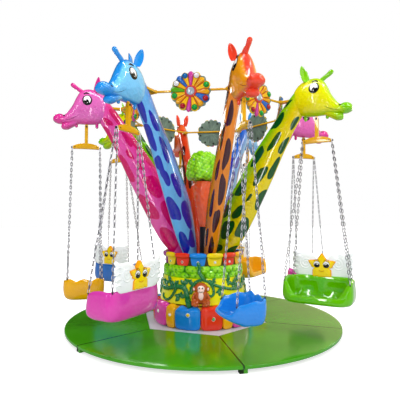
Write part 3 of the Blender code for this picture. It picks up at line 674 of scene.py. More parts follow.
# Lumps and the small bumps on them: rows and how many in a row, half lengths round and up the band,
# how far they stand out
BAND_LUMPS = (2, 30)
BAND_LUMP_SIZE = (0.158, 0.088)
BAND_LUMP_RELIEF = 0.048
BAND_BUMPS = (6, 84)
BAND_BUMP_SIZE = (0.050, 0.022)
BAND_BUMP_RELIEF = 0.008


def heap(points, spots, sizes, fullness):
    """Height of a heap of soft bumps: at each place the highest of the domes that stand on the spots,
    1 at a dome's top and 0 where none reaches. sizes are a dome's half lengths on the axes, and a
    smaller fullness makes it rounder."""
    cover = np.zeros(points.shape[:-1])
    for spot in spots:
        away = (((points - spot) / sizes) ** 2).sum(-1)
        cover = np.maximum(cover, np.clip(1 - away, 0, 1) ** fullness)
    return cover


def heap_rows(rows, columns, low, high, wander):
    """Spots (turn, height) in rows round a band, each row shifted by half a step, each spot moved a
    little by slow waves so that no two leaves are alike. They are listed for one turn before and one
    after as well, so that the band closes on itself."""
    row, column = np.meshgrid(np.arange(rows), np.arange(columns), indexing="ij")
    turn = (column + 0.5 * (row % 2) + wander * np.sin(2.3 * column + 1.7 * row)) / columns
    level = low + (high - low) * (row + 0.5 + wander * np.cos(3.1 * column + 2.3 * row)) / rows
    spots = np.stack([2 * math.pi * turn.ravel(), level.ravel()], -1)
    return np.concatenate([spots + np.array([2 * math.pi * lap, 0.0]) for lap in (-1, 0, 1)])


# Crevice colour: painted shade. Tip colour: painted highlight on the lumps' tops.
leaf_gloss = enamel("leaf_green_gloss", (122, 205, 8), roughness=0.12, coat=0.9, wave=0.3, fade=0.15,
                    layers=(("crevice", (30, 118, 6), 0.35), ("tip", (156, 222, 26), 0.22)))
around = np.linspace(0, 2 * math.pi, 577)[None, :]
rise = np.linspace(0, 1, 37)[:, None]
height = LEAF_FOOT + (LEAF_TOP - LEAF_FOOT) * rise
flat = np.stack(np.broadcast_arrays(around, height), -1)
big = heap(flat, heap_rows(*BAND_LUMPS, LEAF_FOOT - 0.01, LEAF_TOP + 0.015, 0.22), BAND_LUMP_SIZE, 0.9)
fine = heap(flat, heap_rows(*BAND_BUMPS, LEAF_FOOT - 0.01, LEAF_TOP + 0.01, 0.25), BAND_BUMP_SIZE, 0.7)
round_off = np.sin(math.pi * np.clip(rise, 0.02, 0.98)) ** 0.35
hang = -LEAF_HANG * (1 - rise) ** 2 * (0.5 + 0.5 * np.cos(BAND_LUMPS[1] * around)) * round_off
relief = round_off * (0.002 + BAND_LUMP_RELIEF * big + BAND_BUMP_RELIEF * fine)
band = polar(LEAF_RADIUS + relief, around, height + hang)
top_row = polar(LEAF_BACK_RADIUS, around, LEAF_TOP)
foot_row = polar(LEAF_BACK_RADIUS, around, LEAF_FOOT)
# Where the crevices get painted shade and the lumps' tops painted highlight.
crevice = np.maximum(0.30 - fine, 1.0 - 2.1 * big) - 0.12
crevice, tip = (np.concatenate([part[:1], part, part[-1:], part[:1]])
                for part in (crevice, big + 0.3 * fine - 1.10))
shell("leaf_band", "base", [leaf_gloss],
      [(np.concatenate([foot_row, band, top_row, foot_row]), 0, {"crevice": crevice, "tip": tip})],
      ["leaf_ring"], crease=70)

# Fifteen moulded blocks stand on the leaves as a low wall round the turntable, fixed to the drum.
# Each has a rolled lip on top, like a castle's battlement, and a small lamp in front.
COLLAR_COLOURS = (
    "blue", "yellow", "red", "orange", "purple", "blue", "yellow", "red", "blue", "yellow", "orange",
    "red", "purple", "yellow", "red")
COLLAR_TURN = seen_angle(-19.0)
COLLAR_STEP = math.radians(24.0)
COLLAR_FOOT = 0.9133
COLLAR_BODY_TOP = 1.040
COLLAR_LIP_FOOT = 1.0190
COLLAR_TOP = 1.097
RING_INSIDE = 0.553
RING_OUTSIDE = 0.560
RING_TOP = 1.08
# Middle radius and half depth of a block's body and of its lip
COLLAR_BODY = (0.5625, 0.0125)
COLLAR_LIP = (0.5820, 0.0295)
COLLAR_LAMP_RADIUS = 0.5745
COLLAR_LAMP_HEIGHT = 0.966
SMALL_LAMP_SIZE = 0.015

# A thin ring behind the blocks, in dark olive, shows in the gaps between them as painted shade.
ring = [(RING_INSIDE, COLLAR_FOOT), (RING_OUTSIDE, COLLAR_FOOT), (RING_OUTSIDE, RING_TOP),
        (RING_INSIDE, RING_TOP), (RING_INSIDE, COLLAR_FOOT)]
patches = [(spun(ring, (0, 0, 0), (0, 0, 1), 90), block_names.index("gap"))]
for number, colour in enumerate(COLLAR_COLOURS):
    middle = COLLAR_TURN + (number + 0.5) * COLLAR_STEP
    half = 0.5 * COLLAR_STEP
    body = pillow(middle, half * 0.955, *COLLAR_BODY, COLLAR_FOOT, COLLAR_BODY_TOP, 6.0, 15, 25, taper=0.22)
    lip = pillow(middle, half * 0.990, *COLLAR_LIP, COLLAR_LIP_FOOT, COLLAR_TOP, 3.0, 17, 21)
    patches += [(grid, block_names.index(colour)) for grid in (body, lip)]
    patches += domed_lamp(
        polar(COLLAR_LAMP_RADIUS, middle, COLLAR_LAMP_HEIGHT), polar(1.0, middle, 0.0), SMALL_LAMP_SIZE,
        "rim",
        LAMP_COLOURS[(2 * number + 1) % 5], len(block_names))
shell("collar_blocks", "base", drum_paints, patches, ["collar"])

# In the middle a small tree turns with the necks: a tapering red trunk on the pole and a round crown
# of leaves with a few lamps in it, both hollow mouldings in gloss paint.
TRUNK_ROWS = (
    (1.450, 0.000), (1.452, 0.040), (1.475, 0.050), (1.52, 0.058), (1.62, 0.078), (1.76, 0.104),
    (1.90, 0.128), (2.02, 0.145), (2.10, 0.150), (2.145, 0.138), (2.158, 0.100), (2.160, 0.000))
CROWN_ROWS = (
    (2.196, 0.000), (2.192, 0.150), (2.206, 0.214), (2.250, 0.232), (2.320, 0.230), (2.400, 0.215),
    (2.480, 0.192), (2.545, 0.154), (2.585, 0.100), (2.598, 0.000))
CROWN_MIDDLE = (0.0, 0.0, 2.355)
CROWN_LAMPS = ((2.47, 0.208, "blue"), (2.28, 0.252, "white"), (2.40, 0.236, "green"))
GOLDEN_TURN = 2.39996
# Leafy lumps and the small bumps on them: how many, half width seen from the crown's middle in
# shares of the distance, how far they stand out
CROWN_LUMPS = 62
CROWN_LUMP_SIZE = 0.375
CROWN_LUMP_RELIEF = 0.046
CROWN_BUMPS = 300
CROWN_BUMP_SIZE = 0.135
CROWN_BUMP_RELIEF = 0.016
CROWN_SUNK = 0.022


def spiral_spots(count, end, shift, wander):
    """Directions spread evenly over a ball: even steps in height, each turned on by the golden angle."""
    step = np.arange(count)
    turn = GOLDEN_TURN * step + shift + wander * np.sin(1.3 * step)
    level = np.linspace(-end, end, count)
    return polar(np.sqrt(1 - level ** 2), turn, level)


profile = smooth(TRUNK_ROWS, 72)
level = profile[:, :1]
around = np.linspace(0, 2 * math.pi, 73)[None, :]
flutes = 1 + 0.06 * np.sin(5 * around + 3 * level) + 0.03 * np.sin(9 * around - 9 * level)
flutes = flutes + 0.045 * np.sin(58 * level + 2 * np.sin(3 * around)) * np.cos(4 * around + 9 * level)
shell("trunk", "rotor", [enamel("trunk_red", (255, 92, 40), roughness=0.12, coat=1.0, wave=1.0, shine=0.5)],
      [(polar(np.clip(profile[:, 1:], 0, None) * flutes, around, level), 0)], ["tree_trunk"])

profile = smooth(CROWN_ROWS, 91)
around = np.linspace(0, 2 * math.pi, 193)[None, :]
crown = polar(np.clip(profile[:, 1:], 0, None), around, profile[:, :1])
looks = crown - np.array(CROWN_MIDDLE)
looks /= np.linalg.norm(looks, axis=-1, keepdims=True)
big = heap(looks, spiral_spots(CROWN_LUMPS, 0.98, 0.5, 0.16), CROWN_LUMP_SIZE, 0.9)
fine = heap(looks, spiral_spots(CROWN_BUMPS, 0.97, 0.0, 0.0), CROWN_BUMP_SIZE, 0.8)
crown = crown + looks * (CROWN_LUMP_RELIEF * big + CROWN_BUMP_RELIEF * fine - CROWN_SUNK)[..., None]
# As on the leaf band: painted shade in the crevices, painted highlight on the tops of the lumps and bumps.
crevice = np.maximum(0.26 - fine, 0.95 - 1.9 * big) - 0.12
patches = [(crown, 0, {"crevice": crevice, "tip": 0.6 * big + fine - 1.22})]
for number in range(7):
    turn = seen_angle(-40 + 51.4 * number)
    lamp_height, lamp_reach, colour = CROWN_LAMPS[number % 3]
    patches += domed_lamp(
        polar(lamp_reach, turn, lamp_height), polar(1.0, turn, 0.25), SMALL_LAMP_SIZE, "rim", colour, 1)
shell("crown", "rotor", [leaf_gloss, *lamp_paints.values()], patches, ["tree_crown"],
      crease=70)

# Eight giraffe necks lean outwards from the turntable. Each is a fibreglass moulding over a steel
# arm, painted in one of four colours with dark rounded spots, and its head has two cupped ears, one
# blunt horn, painted eyes and a round muzzle. Two stub pegs and the hinge lug stick out below it.
ARMS = 8
# Kinds: name, softness of the ridge colour, rise of the eyes, lean of the head, waviness of the skin
KINDS = (
    ("pink", 0.05, -0.020, 0.0, 0.9), ("blue", 0.012, -0.014, -0.040, 0.75),
    ("orange", 0.015, 0.022, 0.0, 0.75), ("green", 0.05, 0.010, 0.0, 0.75))
# Colours of the neck, its inner edge, the spots, the face and the ridge, giraffe by giraffe. The
# inner edge colour is a deeper tone that paints the shade on the neck's side towards the middle.
GIRAFFE_COLOURS = (
    ((230, 84, 168), (226, 24, 134), (206, 0, 98), (218, 102, 180), (222, 52, 150)),
    ((98, 178, 240), (18, 96, 205), (12, 30, 170), (110, 196, 250), (30, 142, 226)),
    ((232, 132, 16), (214, 84, 20), (62, 12, 26), (236, 150, 12), (232, 64, 38)),
    ((226, 206, 0), (120, 195, 0), (0, 78, 22), (226, 222, 0), (122, 197, 0)),
    ((225, 60, 155), (222, 24, 132), (188, 0, 88), (226, 98, 184), (222, 52, 150)),
    ((98, 178, 240), (18, 96, 205), (12, 30, 170), (120, 190, 240), (60, 150, 222)),
    ((236, 82, 30), (220, 60, 25), (70, 12, 20), (238, 96, 40), (232, 64, 38)),
    ((190, 215, 0), (110, 190, 0), (0, 78, 22), (215, 225, 0), (122, 197, 0)))
# Neck sections: height, inner radius, outer radius, half width
NECK = (
    (1.0005, 0.230, 0.500, 0.076), (1.105, 0.240, 0.540, 0.080), (1.27, 0.260, 0.670, 0.086),
    (1.56, 0.330, 0.835, 0.092), (1.85, 0.435, 0.985, 0.095), (2.15, 0.620, 1.135, 0.090),
    (2.46, 0.815, 1.280, 0.080), (2.75, 1.030, 1.425, 0.074), (2.95, 1.180, 1.545, 0.076),
    (3.12, 1.300, 1.650, 0.080), (3.24, 1.400, 1.690, 0.076), (3.34, 1.490, 1.710, 0.060))
# Head sections: distance from the axis, lowest height, highest height, half width
HEAD = (
    (1.428, 3.190, 3.190, 0.000), (1.440, 3.100, 3.275, 0.038), (1.475, 3.030, 3.345, 0.070),
    (1.530, 2.982, 3.402, 0.093), (1.610, 2.952, 3.440, 0.108), (1.700, 2.942, 3.458, 0.115),
    (1.780, 2.940, 3.448, 0.113), (1.850, 2.940, 3.402, 0.107), (1.902, 2.938, 3.310, 0.100),
    (1.940, 2.936, 3.220, 0.094), (1.985, 2.932, 3.145, 0.086), (2.035, 2.930, 3.078, 0.080),
    (2.085, 2.930, 3.052, 0.083), (2.135, 2.935, 3.046, 0.086), (2.175, 2.946, 3.038, 0.077),
    (2.199, 2.966, 3.020, 0.050), (2.207, 2.993, 2.993, 0.000))
# Spots: height, share of the way round from the outer edge (0) to the inner edge (1 or -1 by side),
# half length up the neck and half width
SPOTS = {
    "pink": (
        (3.06, 0.74, 0.13, 0.060), (2.98, 0.34, 0.06, 0.055), (2.76, 0.08, 0.16, 0.070),
        (2.74, 0.62, 0.10, 0.052), (2.52, 0.40, 0.08, 0.040), (2.56, 0.86, 0.20, 0.085),
        (2.30, 0.10, 0.18, 0.075), (2.06, 0.56, 0.17, 0.125), (1.74, 0.15, 0.19, 0.115),
        (1.64, 0.60, 0.19, 0.085), (1.27, 0.32, 0.18, 0.110), (2.34, 0.52, 0.06, 0.045),
        (1.24, 0.86, 0.12, 0.090), (2.04, 0.95, 0.14, 0.070)),
    "blue": (
        (2.90, 0.08, 0.12, 0.045), (2.80, 0.38, 0.13, 0.055), (2.61, 0.05, 0.15, 0.058),
        (2.47, 0.40, 0.15, 0.072), (2.29, 0.07, 0.10, 0.052), (2.12, 0.14, 0.11, 0.056),
        (2.20, 0.10, 0.10, 0.040), (2.04, 0.42, 0.17, 0.082),
        (1.70, 0.10, 0.16, 0.092), (1.64, 0.50, 0.18, 0.110), (1.24, 0.14, 0.16, 0.070),
        (2.76, 0.80, 0.14, 0.060), (2.30, 0.80, 0.16, 0.070), (1.28, 0.50, 0.12, 0.080)),
    "orange": (
        (3.06, -0.55, 0.10, 0.055), (2.83, -0.16, 0.15, 0.045), (2.61, -0.36, 0.15, 0.050),
        (2.38, -0.06, 0.17, 0.050), (2.20, -0.32, 0.14, 0.050), (1.95, -0.05, 0.19, 0.050),
        (1.77, -0.33, 0.17, 0.062), (1.55, -0.09, 0.16, 0.050), (1.20, -0.12, 0.13, 0.042),
        (1.32, -0.42, 0.12, 0.052), (2.46, -0.68, 0.14, 0.060), (2.90, 0.30, 0.13, 0.050),
        (2.55, 0.36, 0.15, 0.055), (2.12, 0.32, 0.16, 0.060), (1.70, 0.34, 0.15, 0.065)),
    "green": (
        (3.20, -0.80, 0.09, 0.050), (2.93, -0.76, 0.12, 0.060), (2.88, -0.15, 0.08, 0.040),
        (2.65, -0.45, 0.12, 0.055), (2.58, -0.12, 0.12, 0.042), (2.46, -0.72, 0.14, 0.065),
        (2.27, -0.10, 0.14, 0.050), (2.18, -0.36, 0.14, 0.065), (2.02, -0.70, 0.13, 0.070),
        (1.85, -0.07, 0.13, 0.070), (1.88, -0.36, 0.06, 0.028), (1.90, -0.90, 0.05, 0.050),
        (1.69, -0.84, 0.09, 0.070), (1.67, -0.50, 0.09, 0.075), (1.42, -0.64, 0.15, 0.095),
        (1.44, -0.20, 0.14, 0.095), (1.11, -0.16, 0.07, 0.070), (1.14, -0.74, 0.06, 0.060)),
}
# Paint numbers of a giraffe; the last paints shade in the mouth crease.
SKIN, BLACK, PAINTED_WHITE, BROW, GOLD, CREASE_SHADE = range(6)
# Stickers on each side of the head, eyes first and the nostril last: place out, height, half lengths,
# how far they stand out, paint
STICKERS = (
    (1.742, 3.290, 0.068, 0.077, 0.0030, BLACK), (1.742, 3.296, 0.050, 0.060, 0.0052, PAINTED_WHITE),
    (1.750, 3.266, 0.038, 0.042, 0.0072, BLACK), (1.762, 3.290, 0.013, 0.014, 0.0088, PAINTED_WHITE),
    (1.738, 3.252, 0.009, 0.006, 0.0088, PAINTED_WHITE))
NOSTRIL = (2.060, 3.038, 0.018, 0.012, 0.006)
# Ears: root and tip (out, across, height), the way the cup looks, half width
EAR_ROOT = (1.628, 0.058, 3.405)
EAR_TIP = (1.588, 0.108, 3.622)
EAR_LOOKS = (0.75, 0.66, 0.0)
EAR_HALF_WIDTH = 0.052
# Jaw and horn: places (out, height) along them, then shares of the length and the girths there
JAW = (
    ((1.800, 2.990), (1.880, 2.970), (1.950, 2.936), (2.010, 2.907), (2.050, 2.897)),
    (0, 0.4, 0.8, 1.0), (0.030, 0.041, 0.052, 0.048))
JAW_BREADTH = 1.45
HORN = (
    ((1.800, 3.400), (1.858, 3.444), (1.910, 3.476), (1.948, 3.507)),
    (0, 0.5, 0.85, 1), (0.030, 0.027, 0.031, 0.031))
MUZZLE_MIDDLE = (2.118, 0, 3.001)
MUZZLE_HALF = (0.088, 0.088, 0.073)
PEG_PLACES = (1.605, 1.890)
PEG_FOOT = 2.910
PEG_TOP = 2.970
PEG_RADIUS = 0.0215
# Plate on the neck that carries the rods: its two corners
ROD_PLATE = ((1.272, -0.040, 3.187), (1.45, 0.040, 3.213))
# Outline of the hinge lug under the jaw, its middle and half its thickness
LUG = ((1.732, 2.985), (1.732, 2.903), (1.738, 2.892), (1.750, 2.886), (1.762, 2.892), (1.768, 2.903),
       (1.768, 2.985), (1.732, 2.985))
LUG_MIDDLE = (1.75, 2.93)
LUG_HALF = 0.0073


def xyz(x, y, z):
    """Points from three arrays of coordinates."""
    return np.stack(np.broadcast_arrays(x, y, z), -1)


def neck_grid():
    """Neck of upright ellipses: the section table is read as a smooth curve up the neck, and each
    section's ellipse lies level. Returns the grid and, for the spots, the way round each section
    from its outer edge in metres, signed by side, and the half girth."""
    height, inner, outer, wide = np.split(smooth(NECK, 104), 4, axis=1)
    angle = np.linspace(-math.pi, math.pi, 57)[None, :]
    middle = 0.5 * (inner + outer)
    reach = 0.5 * (outer - inner)
    grid = xyz(middle + reach * power(np.cos(angle), 0.92), wide * power(np.sin(angle), 0.92), height)
    run = np.linalg.norm(np.diff(grid, axis=1), axis=-1)
    way = np.concatenate([np.zeros_like(height), np.cumsum(run, axis=1)], axis=1)
    half = np.broadcast_to(0.5 * way[:, -1:], way.shape)
    way = way - half
    centre = np.broadcast_to(xyz(middle, 0.0, height), grid.shape)
    return (np.concatenate([centre[:1], grid, centre[-1:]]),
            *(np.concatenate([part[:1], part, part[-1:]]) for part in (way, half)))


def spot_field(grid, way, half, spots):
    """Measure of the spots on the unrolled neck, positive inside a spot: each spot is an oval with
    squared sides whose outline swells and shrinks in slow waves. The side that the list leaves bare
    carries the same spots mirrored and moved down by a fifth of a metre."""
    bare = -1.0 if sum(spot[1] for spot in spots) > 0 else 1.0
    field = np.full(way.shape, -1.0)
    for mirrored in (False, True):
        for number, (level, share, length, width) in enumerate(spots):
            if mirrored:
                share = bare * min(0.95, abs(share) + 0.22)
                level = level - 0.22
            across = ((way - share * half + half) % (2 * half) - half) / width
            up = (grid[..., 2] - level) / length
            angle = np.arctan2(up, across)
            wave = 1 + 0.11 * np.sin(2 * angle + 1.9 * number) + 0.10 * np.sin(3 * angle + 2.7 * number)
            size = (np.abs(across) ** 2.4 + np.abs(up) ** 2.4) ** (1 / 2.4)
            field = np.maximum(field, 1 - size / wave)
    return field


def head_section(sine, cosine):
    """Up and sideways shares of a head section's outline: an oval that is narrower above its middle."""
    return power(sine, 0.88), power(cosine, 0.88) * (1 - 0.24 * np.clip(sine, 0, 1) ** 1.5)


def head_grid():
    """Head carried along its length through the smoothed section table."""
    x, low, high, wide = np.split(smooth(HEAD, 60), 4, axis=1)
    angle = np.linspace(0, 2 * math.pi, 41)[None, :]
    up, aside = head_section(np.sin(angle), np.cos(angle))
    return xyz(x, np.clip(wide, 0, None) * aside, 0.5 * (low + high) + 0.5 * (high - low) * up)


def head_side(x, z):
    """Half width of the head at a place on its side, from the same sections."""
    table = smooth(HEAD, 200)
    low, high, wide = (np.interp(x, table[:, 0], table[:, column]) for column in (1, 2, 3))
    level = np.clip((z - 0.5 * (low + high)) / (0.5 * (high - low)), -1, 1)
    sine = power(level, 1 / 0.88)
    return wide * head_section(sine, np.sqrt(1 - sine ** 2))[1]


def sticker(centre_x, centre_z, half_x, half_z, lift, side, lean=0.0):
    """Thin lens that hugs the side of the head: an ellipse seen from the side, raised by lift."""
    face = np.linspace(0, 1, 6)
    share = np.concatenate([face, [1.02, 0.5, 0.0]])[:, None]
    raised = np.concatenate([lift * (1 - 0.55 * face ** 4), [-0.004] * 3])[:, None]
    angle = np.linspace(0, 2 * math.pi, 25)[None, :]
    a = share * half_x * np.cos(angle)
    b = share * half_z * np.sin(angle)
    x = centre_x + a * math.cos(lean) - b * math.sin(lean)
    z = centre_z + a * math.sin(lean) + b * math.cos(lean)
    return xyz(x, side * (head_side(x, z) + raised), z)


def ear(side):
    """Cupped leaf-shaped ear: a crescent section, fullest at its middle, carried from root to tip."""
    s = np.linspace(0, 1, 25)[:, None]
    t = np.linspace(0, 2 * math.pi, 25)[None, :]
    root, tip, out = (np.array(place) * (1, side, 1) for place in (EAR_ROOT, EAR_TIP, EAR_LOOKS))
    lean = (tip - root) / np.linalg.norm(tip - root)
    out -= out.dot(lean) * lean
    out /= np.linalg.norm(out)
    across = np.cross(out, lean)
    wide = EAR_HALF_WIDTH * np.sin(math.pi * np.clip(0.16 + 0.84 * s, 0, 1)) ** 0.55
    wide[0] = wide[-1] = 0.0
    a = wide * np.cos(t)
    depth = 0.34 * wide * np.sin(t) + 0.55 * np.abs(a) ** 1.6 / 0.05 ** 0.6 - 0.22 * wide
    line = root + (tip - root) * s - 0.02 * np.sin(math.pi * s) * out
    return line[:, None] + a[..., None] * across + depth[..., None] * out


def grown_tube(places, shares, girths, steps, sides):
    """Round bar in the head's middle plane, through the places, whose girth changes evenly between
    those listed for shares of its length."""
    x, z = smooth(places, steps).T
    return tube(xyz(x, 0.0, z), np.interp(np.linspace(0, 1, steps), shares, girths), sides, (0, 1, 0))


def giraffe_patches(spots, eye_rise, lean):
    """The moulding in its arm's own frame, as patches: neck, head, jaw, muzzle, horn, ears, pegs,
    eyes, brows, mouth, lug and the rods' plate. lean moves the upper neck and the head sideways, as
    the hand-set castings differ."""
    grid, way, half = neck_grid()
    field = np.minimum(spot_field(grid, way, half, spots), (3.20 - grid[..., 2]) * 8)
    head = head_grid()
    x, y, z = np.moveaxis(head, -1, 0)
    brow = np.minimum(0.056 - np.abs(y), (z - 3.20) * 0.5 + (x - 1.86) * 0.6)
    ridge = np.maximum(np.maximum(brow, 0.5 * (x - 2.035)), 2.968 - z)
    bare = {"spot": -1.0, "edge": -1.0, "ridge": 1.0, "head": 1.0}
    jaw = grown_tube(*JAW, 30, 20)
    jaw[..., 1] *= JAW_BREADTH
    muzzle = blob(MUZZLE_MIDDLE, MUZZLE_HALF, np.eye(3)[[1, 0, 2]])
    horn = grown_tube(*HORN, 24, 16)
    # The edge mark grows towards the neck's inner side, where its deeper colour is painted shade.
    patches = [
        (grid, SKIN, {"spot": field, "edge": np.abs(way) / half - 0.60, "ridge": -1.0, "head": -1.0}),
        (head, SKIN, {**bare, "ridge": ridge}),
        (jaw, SKIN, {**bare, "ridge": 0.35 * (jaw[..., 0] - 1.95)}),
        (muzzle, SKIN, bare), (horn, SKIN, bare), (ear(-1), SKIN, bare), (ear(1), SKIN, bare)]
    for place_x in PEG_PLACES:
        peg = xyz(place_x, 0.0, np.linspace(PEG_FOOT, PEG_TOP, 7))
        patches.append((tube(peg, PEG_RADIUS, 14, (1, 0, 0)), SKIN, bare))
    for side in (-1, 1):
        patches += [(sticker(place_x, place_z + eye_rise, *shape, side), paint)
                    for place_x, place_z, *shape, paint in STICKERS]
        patches.append((sticker(*NOSTRIL, side, 0.3), BROW))
        arc = np.linspace(0.5, 2.3, 16)
        x = 1.745 + 0.050 * np.cos(arc)
        z = 3.360 + eye_rise * 0.6 + 0.034 * np.sin(arc)
        girth = 0.0110 * np.sin(np.linspace(0.4, 2.7, 16)) + 0.001
        patches.append((tube(xyz(x, side * (head_side(x, z) + 0.001), z), girth, 8, (0, side, 0)), BROW))
        # Mouth line: a thin dark tube in the crease from the cheek down to the muzzle, painted shade.
        x = np.linspace(1.860, 2.060, 18)
        z = 2.972 + 0.12 * ((2.07 - x) / 0.26) ** 2
        girth = 0.0034 * np.sin(np.linspace(0.2, 3.0, 18)) + 0.0004
        patches.append((tube(xyz(x, side * (head_side(x, z) - 0.0012), z), girth, 6, (0, side, 0)), CREASE_SHADE))
    for grid, *_ in patches:
        grid[..., 1] += lean * np.clip((grid[..., 2] - 1.9) / 1.3, 0, 1) ** 1.5
    share = np.array([0.0, 1.0, 1.0, 0.0])[:, None]
    x, z = (middle + share * (line - middle) for line, middle in zip(np.transpose(LUG), LUG_MIDDLE))
    lug = xyz(x, LUG_HALF * np.array([-1, -1, 1, 1])[:, None], z)
    return [*patches, (lug, GOLD), (slab(*ROD_PLATE), GOLD)]


def arm_turn(number):
    """Direction of an arm: the first lies along -X and the others follow anticlockwise from above."""
    return math.pi + (number - 1) * 2 * math.pi / ARMS


def placed_patches(patches, turn, out=0.0):
    """Patches moved outwards along X, then turned about the ride's upright axis."""
    return [(placed(patch[0], turn, out), *patch[1:]) for patch in patches]


gold_paint = enamel("gold_paint", (224, 167, 12), roughness=0.18, coat=0.6, wave=0.15)
brow_dark = enamel("brow_dark", (30, 18, 28), roughness=0.2)
for number in range(1, ARMS + 1):
    kind, softness, eye_rise, lean, wave = KINDS[(number - 1) % 4]
    neck, shaded_inner_edge, spot, face, ridge = GIRAFFE_COLOURS[number - 1]
    name = f"{kind}_{number}"
    # The deeper inner edge colour is painted shade on the side towards the middle.
    skin = enamel(f"giraffe_{name}", neck, roughness=0.11, coat=0.9, wave=wave, layers=(
        ("edge", shaded_inner_edge, 0.22), ("spot", spot, 0.03), ("head", face, 0.5), ("ridge", ridge, softness)))
    # A darker copy of the ridge colour for the mouth line: painted shade in the crease.
    mouth_crease_shade = enamel(f"crease_{name}", tuple(int(0.6 * part) for part in ridge))
    patches = giraffe_patches(SPOTS[kind], eye_rise, lean)
    shell(f"giraffe_{name}", "rotor", [skin, eye_black, eye_white, brow_dark, gold_paint, mouth_crease_shade],
          placed_patches(patches, arm_turn(number)), [f"giraffe_{number}"])

# Gold painted steel rods join the necks behind the heads, bolted to a plate on each neck. In the
# middle of each rod sits a flower lamp: a moulded disc of petals with domed lamps near its edge, a
# silver lens in a red ring in its middle, and a mottled grey back with dark bosses.
ROD_HEIGHT = 3.2
ROD_RADIUS = 0.015
PLATE_REACH = 1.27
FLOWER_HEIGHT = 3.18
FLOWER_RADIUS = 0.262
HUB_RADIUS = 0.060
LAMP_REACH = 0.212
FLOWER_LAMP_SIZE = 0.026
BOSS_REACH = 0.205
# Petals clockwise from the top, seen from outside: half span in degrees, paint, lamp
PETALS = (
    (9, "magenta", None), (12, "yellow", "white"), (11, "amber", None), (14, "yellow", "green"),
    (10, "amber", None), (14, "blue", "red"), (11, "amber", None), (13, "yellow", "green"),
    (8, "magenta", None), (14, "yellow", "red"), (10, "amber", None), (13, "yellow", "green"),
    (10, "green", None), (11, "yellow", "white"), (9, "blue", None), (11, "yellow", "blue"))
petal_paints = {
    # The amber and yellow petals take a darker orange in their grooves and along their side edges: painted
    # shade.
    "amber": enamel("petal_amber", (228, 164, 10), roughness=0.16, wave=0.5,
                    layers=(("groove", (206, 92, 10), 0.15),)),
    "yellow": enamel("petal_yellow", (232, 194, 22), roughness=0.16, wave=0.5,
                     layers=(("groove", (216, 118, 16), 0.15),)),
    "magenta": enamel("petal_magenta", (196, 62, 150)),
    "blue": enamel("petal_blue", (34, 96, 178)),
    "green": enamel("petal_green", (84, 160, 12)),
    "hub": enamel("hub_red", (205, 70, 60)),
    "lens": enamel("hub_lens", (172, 184, 198), roughness=0.12, coat=1.0, metallic=0.3),
    # The back is painted darker in bands by the folds and in wandering rings.
    "back": enamel("flower_back_grey", (118, 140, 124), roughness=0.35, coat=0.2, fade=0.3,
                   layers=(("grime", (84, 102, 92), 1.0),)),
    "dark": enamel("flower_back_dark", (44, 50, 40), roughness=0.4, coat=0.1),
    "gold": gold_paint,
    "bolt": enamel("bolt_steel", (150, 150, 155), roughness=0.3, coat=0.0, metallic=0.9),
}
petal_names = list(petal_paints)


def closed_ends(grid):
    """Grid with one more row at each end, all of it on the middle of the end row."""
    ends = np.broadcast_to(grid.mean(axis=1, keepdims=True), grid.shape)
    return np.concatenate([ends[:1], grid, ends[-1:]])


def petal(middle, half, plane_x, reach):
    """Petal in the upright plane x = plane_x: a wedge from the hub to a rounded end, domed across its
    width with two grooves, thickest at its end. Returns the grid and a measure of the grooves and
    the side edges, where the paint is darkened as painted shade."""
    s = np.linspace(0, 1, 11)[:, None]
    t = np.linspace(-1, 1, 17)[None, :]
    radius = HUB_RADIUS + (reach * (1 - 0.13 * np.abs(t) ** 2.2) - HUB_RADIUS) * s
    angle = middle + half * 0.985 * t
    groove = np.cos(3 * math.pi * t) * (1 - s ** 4)
    dome = np.sqrt(np.clip(1 - np.abs(t) ** 3, 0, 1)) * (1 - 0.12 * groove * s)
    lift = 0.004 + (0.008 + 0.020 * s) * dome * np.sqrt(np.clip(1 - s ** 8, 0, 1))
    front = xyz(plane_x + lift, radius * np.sin(angle), FLOWER_HEIGHT + radius * np.cos(angle))
    back = front.copy()
    back[..., 0] = plane_x
    # The darker orange covers the grooves and the side edges: painted shade.
    depth = np.maximum(groove - 0.55, (np.abs(t) - 0.86) * 3)
    depth = np.concatenate([depth, depth[:, ::-1], depth[:, :1]], axis=1)
    return (closed_ends(np.concatenate([front, back[:, ::-1], front[:, :1]], axis=1)),
            np.concatenate([depth[:1], depth, depth[-1:]]))


def on_flower(plane, reach, turn):
    """Place on the flower's disc, turned clockwise from the top as seen from outside."""
    return plane, reach * math.sin(turn), FLOWER_HEIGHT + reach * math.cos(turn)


def flower_back(plane):
    """Back of the flower: a thin scalloped disc with a soft fold behind each petal. Returns the grid
    and a measure of the darker paint, which runs in bands by the folds and in wandering rings."""
    angle = np.linspace(0, 2 * math.pi, 97)[None, :]
    face = np.linspace((0.0, 0.0), (0.97, 0.0), 11)
    share, height = np.split(np.concatenate([face, [(1.0, 0.004), (1.0, 0.010), (0.0, 0.010)]]), 2, axis=1)
    reach = share * FLOWER_RADIUS * (0.945 + 0.035 * np.cos(16 * angle))
    folds = 0.5 + 0.5 * np.cos(16 * angle)
    sunk = 0.003 * folds * np.sin(math.pi * share) * (height == 0)
    grid = xyz(plane - 0.008 + height + sunk, reach * np.sin(angle), FLOWER_HEIGHT + reach * np.cos(angle))
    return grid, 0.2 - 0.5 * folds - 0.5 * np.sin(7 * share + 2 * np.sin(3 * angle))


